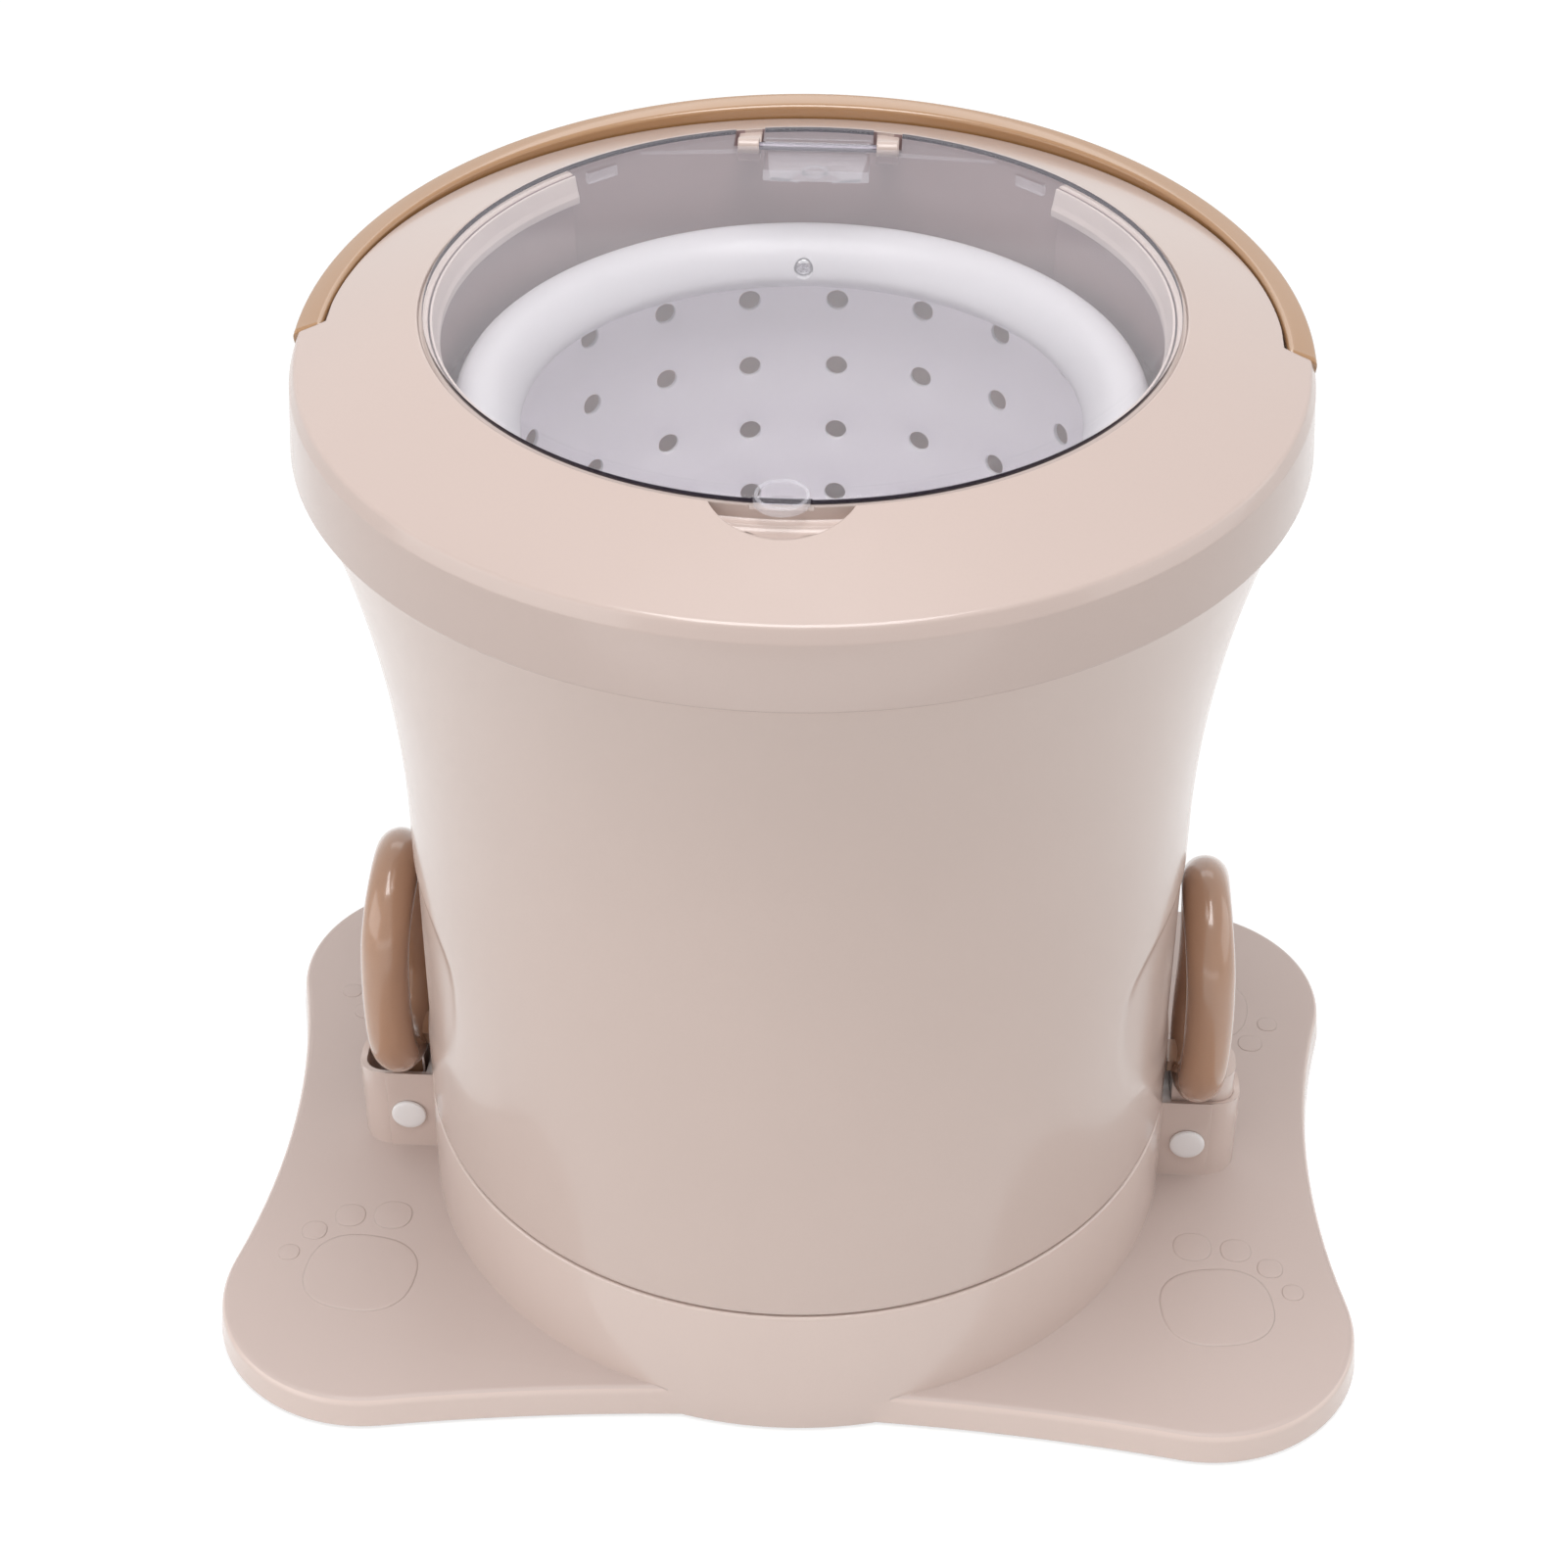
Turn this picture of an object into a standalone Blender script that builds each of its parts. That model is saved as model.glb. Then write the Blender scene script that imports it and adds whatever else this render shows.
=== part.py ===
# Manual spin dryer: a barrel that is pumped up and down on a twisted rod, which spins the basket.
# Metres, +Z up, front towards -Y. The origin is the centre of the floor under the foot plate.

import math

import bmesh
import bpy
from mathutils import Matrix, Vector

# Counts of faces round a turned shape
BIG_SIDES = 36
MID_SIDES = 18
SMALL_SIDES = 12
TINY_SIDES = 6
TOOL_TURN = 4.0

# Clearances
TOUCH_GAP = 0.0003
RUN_GAP = 0.0004
OVERRUN = 0.004
WELD_SHARE = 0.01

# Driving radius: the barrel's straight part. The radii below are set off from it, or from each other
BARREL_R = 0.1386

# Foot plate: half widths at the waists, and the centre and radius of each lobe's corner arc
PLATE_SIDE_REACH = 0.0584
PLATE_WAIST_X = BARREL_R + PLATE_SIDE_REACH
PLATE_FRONT_TUCK = 0.0056
PLATE_WAIST_Y = BARREL_R - PLATE_FRONT_TUCK
LOBE_IN_X = 0.0455
LOBE_X = PLATE_WAIST_X - LOBE_IN_X
LOBE_IN_Y = 0.0430
LOBE_Y = PLATE_WAIST_Y - LOBE_IN_Y
LOBE_R = 0.056
PLATE_TOP_Z = 0.0132
PLATE_WALL = 0.003
PLATE_FLARE = 0.001
PLATE_EDGE_R = 0.003
RIM_Z = 0.0012
PLATE_SIDE_STEPS = 2
PLATE_CORNER_STEPS = 8
PLATE_FRONT_STEPS = 3
PLATE_EDGE_STEPS = 2

# Round skirt of the foot plate, under the seam with the barrel
SKIRT_TAPER = 0.0006
SKIRT_FOOT_R = BARREL_R + SKIRT_TAPER
SKIRT_WALL = 0.0028
SEAM_Z = 0.0572

# Underside
COVER_T = 0.0020
FOOT_R = 0.012
FOOT_OFF_LOBE_X = 0.0165
FOOT_X = LOBE_X + FOOT_OFF_LOBE_X
FOOT_OFF_LOBE_Y = 0.0180
FOOT_Y = LOBE_Y + FOOT_OFF_LOBE_Y
BOSS_R = 0.0050
BOSS_OFF_LOBE_X = 0.0235
BOSS_X = LOBE_X - BOSS_OFF_LOBE_X
BOSS_OFF_LOBE_Y = 0.0080
BOSS_Y = LOBE_Y + BOSS_OFF_LOBE_Y
SCREW_R = 0.0015
SCREW_HEAD_R = 0.0030
SCREW_HEAD_H = 0.0012

# Twisted rod and how it is held
ROD_SIDE = 0.0090
ROD_LEAD = 0.120
ROD_STEPS = 28
LIFT = 0.120
ROD_THREAD_R = 0.0048
ROD_SHOULDER_R = 0.0085
ROD_SHOULDER_H = 0.005
ROD_STUD_R = 0.0030
ROD_STUD_H = 0.006
FLANGE_R = 0.030
FLANGE_T = 0.004
FLANGE_SCREW_AT = 0.022
FLANGE_SCREWS = 3
NUT_ACROSS = 0.0160
NUT_H = 0.0055
STOP_R = 0.0078
STOP_H = 0.008

# Landing ring
LANDING_REACH = 0.0121
LANDING_IN_R = BARREL_R - LANDING_REACH
LANDING_H = 0.006

# Latch: pocket on the skirt, pull ring on its pin
PIVOT_OFF_BARREL = 0.0101
PIVOT_X = BARREL_R + PIVOT_OFF_BARREL
PIVOT_Z = 0.030
POCKET_OFF_BARREL = 0.0294
POCKET_OUT_X = BARREL_R + POCKET_OFF_BARREL
POCKET_HALF_Y = 0.0140
POCKET_WALL = 0.0025
POCKET_TOP_Z = 0.0560
POCKET_CORNER_R = 0.008
POCKET_INNER_WALL = 0.0028
POCKET_IN_X = BARREL_R + POCKET_INNER_WALL
RING_WIRE_R = 0.0088
RING_HALF_Y = 0.0230
RING_LOW_Z = 0.0810
RING_HIGH_Z = 0.1180
RING_OFF_BARREL = 0.0137
RING_MID_X = BARREL_R + RING_OFF_BARREL
RING_MID_Z = 0.0800
RING_BOW_R = 0.520
RING_ARC_STEPS = 6
RING_LEG_STEPS = 2
RING_SIDES = 9
SADDLE_GAP = 0.0022
TONGUE_HALF_Y = 0.0062
TONGUE_R = 0.0060
NOSE_LOW_Z = 0.0590
NOSE_H = 0.0050
NOSE_GAP = 0.0005
PIN_R = 0.0030
CAP_R = 0.0066
CAP_H = 0.0018
SPRING_WIRE_R = 0.0005
SPRING_R = 0.0043
SPRING_PITCH = 0.0015
SPRING_TURNS = 2.5
SPRING_TURN_POINTS = 7
SPRING_SIDES = 5
SPRING_TOP_Z = 0.0600

# Barrel: a straight part, and a flared part that sits on it with a tongue
BARREL_WALL = 0.0030
FLARE_Z = 0.185
BARREL_TOP_Z = 0.3363
FLARE_GROWTH = 0.0245
FLARE_RISE = BARREL_TOP_Z - FLARE_Z
FLARE_RADIUS = (FLARE_RISE ** 2 + FLARE_GROWTH ** 2) / (2 * FLARE_GROWTH)
FLARE_ROWS = 5
SPLIT_OVER_FLARE = 0.0150
SPLIT_Z = FLARE_Z + SPLIT_OVER_FLARE
SPLIT_TONGUE_T = 0.0014
SPLIT_TONGUE_H = 0.0040
LIP_H = 0.0044
NEST_GAP = 0.0007
NEST_LOW_Z = 0.0200
FLOOR_Z = 0.0660
HAND_RECESS_DEPTH = 0.0018
HAND_RECESS_LOW_Z = 0.100
HAND_RECESS_HIGH_Z = 0.196
HAND_RECESS_ANGLE = 34.0
HAND_RECESS_EDGE_SHARE = 0.12
HAND_RECESS_ROWS = 5
SLOT_HALF_Y = 0.0075
SLOT_LOW_Z = 0.0583
SLOT_H = 0.0066
DRAIN_R = 0.0080
DRAIN_Z = 0.0780
DRAIN_HEAD_R = 0.0115
DRAIN_HEAD_H = 0.0035

# Collar
COLLAR_SEAM_Z = BARREL_TOP_Z + TOUCH_GAP
COLLAR_LIP = 0.0035
COLLAR_SEAM_R = BARREL_R + FLARE_GROWTH + COLLAR_LIP
COLLAR_TAPER = 0.0016
COLLAR_CREASE_R = COLLAR_SEAM_R - COLLAR_TAPER
COLLAR_SIDE_H = 0.0230
COLLAR_CREASE_Z = COLLAR_SEAM_Z + COLLAR_SIDE_H
COLLAR_EDGE_IN = 0.0018
COLLAR_TOP_R = COLLAR_CREASE_R - COLLAR_EDGE_IN
COLLAR_EDGE_H = 0.0049
COLLAR_TOP_Z = COLLAR_CREASE_Z + COLLAR_EDGE_H
COLLAR_WALL = 0.0028
COLLAR_FACE_WIDTH = 0.0406
SEAT_R = COLLAR_TOP_R - COLLAR_FACE_WIDTH
COLLAR_FACE_RISE = 0.0152
SEAT_RIM_Z = COLLAR_TOP_Z + COLLAR_FACE_RISE
SEAT_DEPTH = 0.0018
SEAT_Z = SEAT_RIM_Z - SEAT_DEPTH
SEAT_LEDGE = 0.0031
TUB_R = SEAT_R - SEAT_LEDGE
TUB_OVER_SEAM = 0.0094
TUB_LOW_Z = COLLAR_SEAM_Z + TUB_OVER_SEAM
GUTTER_WIDTH = 0.0104
GUTTER_R = COLLAR_CREASE_R - GUTTER_WIDTH
GUTTER_OVER_SEAM = 0.0164
GUTTER_Z = COLLAR_SEAM_Z + GUTTER_OVER_SEAM
GUTTER_WALL = 0.0020
FINGER_R = 0.0244
FINGER_INSET = 0.0126
FINGER_Y = SEAT_R - FINGER_INSET
FINGER_DEPTH = 0.0072
FINGER_Z = SEAT_RIM_Z - FINGER_DEPTH
FINGER_RIM = 0.0007
BACK_POCKET_ANGLE = 44.0
BACK_STEPS = 12
TUB_WALL = 0.0059
FINGER_SECTOR = 13.0
FINGER_FLOOR_T = 0.0028
FINGER_STEPS = 5
FINGER_ARC_STEPS = 10
COLLAR_SCREW_FACETS = (19, 26, 34)
COLLAR_SCREW_R = 0.0010
COLLAR_SCREW_HEAD_R = 0.0020
COLLAR_SCREW_OVER_SEAM = 0.0022
COLLAR_SCREW_Z = COLLAR_SEAM_Z + COLLAR_SCREW_OVER_SEAM
COLLAR_SCREW_GRIP = 0.0020

# Carry handle
HANDLE_OFF_GUTTER = 0.0010
HANDLE_IN_R = GUTTER_R + HANDLE_OFF_GUTTER
HANDLE_WIDTH = 0.0096
HANDLE_OUT_R = HANDLE_IN_R + HANDLE_WIDTH
HANDLE_OVER_GUTTER = 0.0018
HANDLE_LOW_Z = GUTTER_Z + HANDLE_OVER_GUTTER
HANDLE_IN_H = 0.0127
HANDLE_IN_TOP_Z = HANDLE_LOW_Z + HANDLE_IN_H
HANDLE_OUT_H = 0.0092
HANDLE_OUT_TOP_Z = HANDLE_LOW_Z + HANDLE_OUT_H
HANDLE_REAR_RISE_IN = 0.0048
HANDLE_REAR_RISE_OUT = 0.0091
HANDLE_PIVOT_Y = 0.0040
HANDLE_PIVOT_OVER_LOW = 0.0074
HANDLE_PIVOT_Z = HANDLE_LOW_Z + HANDLE_PIVOT_OVER_LOW
HANDLE_END_R = 0.0076
HANDLE_END_GAP = 0.0005
HANDLE_END_STEPS = 4
HANDLE_END_TURN = 74.0
HANDLE_STEPS = 28
HANDLE_EDGE_R = 0.0014
HANDLE_PIN_R = 0.0018
HANDLE_PIN_INNER_LENGTH = 0.0071
HANDLE_PIN_IN = GUTTER_R - HANDLE_PIN_INNER_LENGTH
HANDLE_PIN_OUTER_LENGTH = 0.0049
HANDLE_PIN_OUT = GUTTER_R + HANDLE_PIN_OUTER_LENGTH
HANDLE_BOSS_R = 0.0040

# Splash rim under the lid
RIM_REACH = 0.0060
RIM_IN_R = TUB_R - RIM_REACH
RIM_UNDER_SEAT = 0.0099
RIM_LOW_Z = SEAT_Z - RIM_UNDER_SEAT
RIM_T = 0.0022
RIM_NOTCH_HALF = 0.006

# Lid
LID_GAP = 0.0013
LID_R = SEAT_R - LID_GAP
LID_OVER_SEAT = 0.0033
LID_TOP_Z = SEAT_Z + LID_OVER_SEAT
LID_T = 0.0024
LID_RISE = 0.0015
LID_PIVOT_INSET = 0.0143
LID_PIVOT_Y = LID_R - LID_PIVOT_INSET
LID_PIVOT_DEPTH = 0.0012
LID_PIVOT_Z = LID_TOP_Z - LID_PIVOT_DEPTH
LID_PIN_R = 0.0013
KNUCKLE_R = 0.0028
KNUCKLE_HALF_X = 0.0182
HINGE_EAR_X = 0.0240
HINGE_EAR_HALF_X = 0.0040
HINGE_SLOT_GAP = 0.0010
HINGE_RIB_LENGTH = 0.0170
HINGE_RIB_Y = LID_PIVOT_Y - HINGE_RIB_LENGTH
HINGE_RIB_H = 0.0040
TAB_R = 0.0085
TAB_INSET = 0.0013
TAB_Y = LID_R - TAB_INSET
HOOK_HALF_X = 0.0030
HOOK_INSET = 0.0048
HOOK_Y = LID_R - HOOK_INSET
HOOK_T = 0.0020
HOOK_H = 0.0060
CLIP_ANGLES = (50.5, 129.5)
CLIP_HALF = 0.0060
CLIP_T = 0.0020
CLIP_H = 0.0040
CLIP_INSET = 0.0048
CLIP_R = LID_R - CLIP_INSET

# Basket
BASKET_OFF_BARREL = 0.0286
BASKET_IN_R = BARREL_R - BASKET_OFF_BARREL
BASKET_WALL = 0.0020
BASKET_COLUMNS = 22
BASKET_TURN = 4.4
HOLE_ROWS = 4
HOLE_PITCH_Z = 0.0270
HOLE_R = 0.0042
HOLE_SIDES = 6
BASKET_UNDER_SEAM = 0.0101
BASKET_TOP_Z = COLLAR_SEAM_Z - BASKET_UNDER_SEAM
HOLE_UNDER_TOP = 0.0075
HOLE_TOP_Z = BASKET_TOP_Z - HOLE_UNDER_TOP
BASKET_FLOOR_Z = 0.0990
CONE_LOW_R = 0.0340
CONE_TOP_R = 0.0160
CONE_H = 0.1310
CONE_TOP_Z = BASKET_FLOOR_Z + CONE_H
CONE_WALL = 0.0030
CONE_SPIGOT_INSET = 0.0010
CONE_DOME_H = 0.0070
CONE_DOME_SHARE = 0.7

# Balance ring on the basket
RING_OVER_WALL = 0.0040
RING_OUT_R = BASKET_IN_R + RING_OVER_WALL
RING_REACH = 0.0180
RING_IN_R = BASKET_IN_R - RING_REACH
BALANCE_RING_H = 0.0232
RING_TOP_Z = BASKET_TOP_Z + TOUCH_GAP + BALANCE_RING_H
RING_SECTION_SHARES = (
    (0, 0),
    (0, 0.76),
    (0.08, 0.92),
    (0.27, 1),
    (0.59, 0.95),
    (0.84, 0.74),
    (0.97, 0.56),
    (1, 0.44),
    (0.91, 0.29),
)
RING_SCREWS = 3
RING_SCREW_DROP = 0.0100
RING_SCREW_Z = RING_TOP_Z - RING_SCREW_DROP
RING_SCREW_ANGLE = 92.5
RING_SCREW_INSET = 0.0022
RING_SCREW_DEPTH = 0.0050

# Hub, bearing and clutch
HUB_FLANGE_R = 0.0450
HUB_FLANGE_T = 0.0030
JOURNAL_R = 0.0150
JOURNAL_BORE_R = 0.0095
BEARING_OUT_R = 0.0300
BEARING_H = 0.0120
BEARING_TOP_Z = 0.0900
BALL_R = 0.0035
BALLS = 6
RACE_WALL = 0.0040
DRUM_OUT_R = 0.0240
DRUM_IN_R = 0.0190
DRUM_H = 0.0120
HOUSING_R = 0.0350
HOUSING_FLANGE_R = 0.0480
HOUSING_FLANGE_T = 0.0030
HOUSING_LOW_Z = 0.0480
HOUSING_FLOOR_T = 0.0080
HOUSING_SCREW_AT = 0.0420
HOUSING_SCREWS = 3
BUSH_WALL = 0.0030
SEAL_T = 0.0022
NUT_BODY_R = 0.0140
NUT_BODY_H = 0.0090
NUT_STEPS = 4
ROLLER_R = 0.0022
ROLLERS = 3

# Colours, roughness and metallic value of each material
BEIGE = (0.60, 0.51, 0.45)
BEIGE_TOP = (0.75, 0.64, 0.58)
BEIGE_PLATE = (0.55, 0.46, 0.41)
BROWN = (0.36, 0.25, 0.17)
TAN = (0.55, 0.42, 0.30)
WHITE = (0.80, 0.80, 0.82)
CLEAR = (0.78, 0.76, 0.80)
STEEL = (0.60, 0.60, 0.62)
DARK = (0.03, 0.03, 0.03)
NYLON = (0.70, 0.68, 0.62)


def remove_everything():
    for thing in list(bpy.data.objects):
        bpy.data.objects.remove(thing, do_unlink=True)


def material(name, colour, roughness, metallic=0.0, alpha=1.0):
    made = bpy.data.materials.new(name)
    made.use_nodes = True
    shader = made.node_tree.nodes["Principled BSDF"]
    shader.inputs["Base Color"].default_value = (*colour, 1.0)
    shader.inputs["Roughness"].default_value = roughness
    shader.inputs["Metallic"].default_value = metallic
    shader.inputs["Alpha"].default_value = alpha
    return made


def smooth(mesh):
    mesh.shade_smooth()
    mesh.set_sharp_from_angle(angle=math.radians(35))


def place(name, bm, look, parent=None):
    """Turn a bmesh in world coordinates into a named object, kept in place under its parent."""
    bmesh.ops.recalc_face_normals(bm, faces=bm.faces)
    mesh = bpy.data.meshes.new(name)
    bm.to_mesh(mesh)
    bm.free()
    smooth(mesh)
    made = bpy.data.objects.new(name, mesh)
    bpy.context.scene.collection.objects.link(made)
    if look is not None:
        mesh.materials.append(look)
    if parent is not None:
        to_parent = Matrix.Translation(-parent.location)
        mesh.transform(to_parent)
        made.parent = parent
    return made


def axis_empty(name, location):
    made = bpy.data.objects.new(name, None)
    made.location = location
    bpy.context.scene.collection.objects.link(made)
    return made


def shape(target, bm, operation):
    """Cut a tool out of an object, or join it on, with the tool hidden beside it."""
    count = len(target.modifiers)
    tool = place(target.name + "_tool_" + str(count), bm, None)
    tool.hide_render = True
    tool.display_type = "WIRE"
    step = target.modifiers.new(operation.lower() + str(count), "BOOLEAN")
    step.operation = operation
    step.object = tool
    step.solver = "EXACT"
    return tool


def cut(target, bm):
    return shape(target, bm, "DIFFERENCE")


def join(target, bm):
    return shape(target, bm, "UNION")


def rotate(bm, degrees, axis):
    turn = Matrix.Rotation(math.radians(degrees), 3, axis)
    bmesh.ops.rotate(bm, verts=bm.verts, cent=(0, 0, 0), matrix=turn)


def move(bm, offset):
    bmesh.ops.translate(bm, verts=bm.verts, vec=offset)


def turned(profile, sides, start=0.0, sweep=360.0):
    """Spin a profile of (radius, height) points about Z. Points on the axis close the shape."""
    bm = bmesh.new()
    points = [bm.verts.new((radius, 0, height)) for radius, height in profile]
    on_axis = any(radius == 0 for radius, height in profile)
    whole = sweep >= 360.0
    pairs = zip(points, points[1:] + ([] if on_axis else points[:1]))
    edges = [bm.edges.new(pair) for pair in pairs]
    geometry = points + edges
    if not whole:
        geometry = geometry + [bm.faces.new(points)]
    bmesh.ops.rotate(bm, verts=points, cent=(0, 0, 0), matrix=Matrix.Rotation(math.radians(start), 3, "Z"))
    bmesh.ops.spin(bm, geom=geometry, cent=(0, 0, 0), axis=(0, 0, 1), angle=math.radians(sweep),
                   steps=sides, use_merge=whole)
    if on_axis:
        bmesh.ops.remove_doubles(bm, verts=bm.verts, dist=TOUCH_GAP * WELD_SHARE)
    return bm


def disc(radius, low, high, sides, centre=(0, 0), start=TOOL_TURN):
    """Upright round bar, turned a little so that its corners stay off the edges of what it cuts."""
    bm = turned([(0, low), (radius, low), (radius, high), (0, high)], sides, start)
    move(bm, (centre[0], centre[1], 0))
    return bm


def square_section(in_radius, out_radius, low, high):
    return [(in_radius, low), (out_radius, low), (out_radius, high), (in_radius, high)]


def washer(in_radius, out_radius, low, high, sides):
    return turned(square_section(in_radius, out_radius, low, high), sides)


def bar_along(axis, radius, low, high, centre, sides, start=TOOL_TURN):
    """Round bar along X or Y. centre gives the other two coordinates."""
    bm = disc(radius, low, high, sides, (0, 0), start)
    if axis == "X":
        rotate(bm, 90, "Y")
        move(bm, (0, centre[0], centre[1]))
    else:
        rotate(bm, -90, "X")
        move(bm, (centre[0], 0, centre[1]))
    return bm


def block(low, high):
    bm = bmesh.new()
    bmesh.ops.create_cube(bm, size=1)
    size = Vector(high) - Vector(low)
    bmesh.ops.scale(bm, verts=bm.verts, vec=size)
    bmesh.ops.translate(bm, verts=bm.verts, vec=(Vector(high) + Vector(low)) / 2)
    return bm


def prism(outline, low, high):
    bm = bmesh.new()
    base = bm.faces.new([bm.verts.new((x, y, low)) for x, y in outline])
    grown = bmesh.ops.extrude_face_region(bm, geom=[base])
    top = [thing for thing in grown["geom"] if isinstance(thing, bmesh.types.BMVert)]
    bmesh.ops.translate(bm, verts=top, vec=(0, 0, high - low))
    return bm


def lofted(rings, closed=False):
    """Skin a list of rings of points, capped at both ends or closed round on itself."""
    bm = bmesh.new()
    made = [[bm.verts.new(point) for point in ring] for ring in rings]
    pairs = list(zip(made, made[1:]))
    if closed:
        pairs.append((made[-1], made[0]))
    for lower, upper in pairs:
        for k in range(len(lower)):
            after = (k + 1) % len(lower)
            bm.faces.new((lower[k], lower[after], upper[after], upper[k]))
    if not closed:
        bm.faces.new(made[0])
        bm.faces.new(made[-1])
    return bm


def swept(path, radius, sides, across, closed=False):
    """Round tube along a smooth path. across is a direction that the path never runs along."""
    points = [Vector(point) for point in path]
    count = len(points)
    rings = []
    for k in range(count):
        before = points[k - 1] if closed or k > 0 else points[k]
        after = points[(k + 1) % count] if closed or k < count - 1 else points[k]
        along = (after - before).normalized()
        side = along.cross(Vector(across)).normalized()
        up = side.cross(along)
        ring = []
        for j in range(sides):
            angle = 2 * math.pi * j / sides
            ring.append(points[k] + radius * (math.cos(angle) * side + math.sin(angle) * up))
        rings.append(ring)
    return lofted(rings, closed)


def ring_places(count, radius, first=90.0):
    """Centres of a ring of screws or rollers."""
    places = []
    for k in range(count):
        angle = math.radians(first + 360 * k / count)
        places.append((radius * math.cos(angle), radius * math.sin(angle)))
    return places


def screw(name, centre, head_z, depth, look, upward=True):
    """Pan-head screw with a slot. head_z is the seat of its head, and depth its shank's length."""
    way = 1 if upward else -1
    profile = [
        (0, head_z - way * SCREW_HEAD_H),
        (SCREW_HEAD_R, head_z - way * SCREW_HEAD_H),
        (SCREW_HEAD_R, head_z),
        (SCREW_R, head_z),
        (SCREW_R, head_z + way * depth),
        (0, head_z + way * depth),
    ]
    bm = turned(profile, TINY_SIDES)
    move(bm, (centre[0], centre[1], 0))
    return place(name, bm, look)


def radial_bar(radius, near, far, height, angle, sides, start=TOOL_TURN):
    """Round bar that points away from the Z axis at this angle in degrees."""
    bm = bar_along("X", radius, near, far, (0, height), sides, start)
    rotate(bm, angle, "Z")
    return bm


def radial_screw(name, seat_r, height, angle, head_r, shank_r, depth, look):
    """Screw driven outwards from inside, with its head's underside on the radius seat_r."""
    profile = [
        (0, seat_r - SCREW_HEAD_H),
        (head_r, seat_r - SCREW_HEAD_H),
        (head_r, seat_r),
        (shank_r, seat_r),
        (shank_r, seat_r + depth),
        (0, seat_r + depth),
    ]
    bm = turned(profile, TINY_SIDES)
    rotate(bm, 90, "Y")
    move(bm, (0, 0, height))
    rotate(bm, angle, "Z")
    return place(name, bm, look)


# Foot plate

def plate_outline(offset):
    """Four convex corner arcs joined tangentially by four concave arcs, grown by offset."""
    near_x = PLATE_WAIST_X - LOBE_X
    near_y = PLATE_WAIST_Y - LOBE_Y
    side_r = (near_x ** 2 + LOBE_Y ** 2 - LOBE_R ** 2) / (2 * (LOBE_R - near_x))
    front_r = (near_y ** 2 + LOBE_X ** 2 - LOBE_R ** 2) / (2 * (LOBE_R - near_y))
    side_x = PLATE_WAIST_X + side_r
    front_y = PLATE_WAIST_Y + front_r
    side_turn = math.atan2(LOBE_Y, side_x - LOBE_X)
    front_turn = math.atan2(LOBE_X, front_y - LOBE_Y)
    quarter = []
    for k in range(PLATE_SIDE_STEPS):
        angle = side_turn * k / PLATE_SIDE_STEPS
        reach = side_r - offset
        quarter.append((side_x - reach * math.cos(angle), reach * math.sin(angle)))
    for k in range(PLATE_CORNER_STEPS + 1):
        angle = -side_turn + (math.pi / 2 + side_turn + front_turn) * k / PLATE_CORNER_STEPS
        reach = LOBE_R + offset
        quarter.append((LOBE_X + reach * math.cos(angle), LOBE_Y + reach * math.sin(angle)))
    for k in range(1, PLATE_FRONT_STEPS + 1):
        angle = front_turn * (1 - k / PLATE_FRONT_STEPS)
        reach = front_r - offset
        quarter.append((reach * math.sin(angle), front_y - reach * math.cos(angle)))
    left = [(-x, y) for x, y in reversed(quarter[:-1])]
    half = quarter + left
    return half + [(x, -y) for x, y in reversed(half[1:-1])]


def level(outline, height):
    return [(x, y, height) for x, y in outline]


def foot_plate_solid():
    rings = [level(plate_outline(PLATE_FLARE), RIM_Z), level(plate_outline(0), PLATE_TOP_Z - PLATE_EDGE_R)]
    for k in range(1, PLATE_EDGE_STEPS + 1):
        angle = math.pi / 2 * k / PLATE_EDGE_STEPS
        inset = PLATE_EDGE_R * (1 - math.cos(angle))
        rings.append(level(plate_outline(-inset), PLATE_TOP_Z - PLATE_EDGE_R * (1 - math.sin(angle))))
    return lofted(rings)


def pocket_outline(side, inset, inner_x):
    """Plan of a latch pocket, with rounded outer corners."""
    half = POCKET_HALF_Y - inset
    outer = POCKET_OUT_X - inset
    corner = POCKET_CORNER_R - inset
    points = [(inner_x, -half)]
    for k in range(4):
        angle = -math.pi / 2 + math.pi / 2 * k / 3
        points.append((outer - corner + corner * math.cos(angle), -half + corner + corner * math.sin(angle)))
    points = points + [(x, -y) for x, y in reversed(points)]
    return [(side * x, y) for x, y in points]


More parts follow.
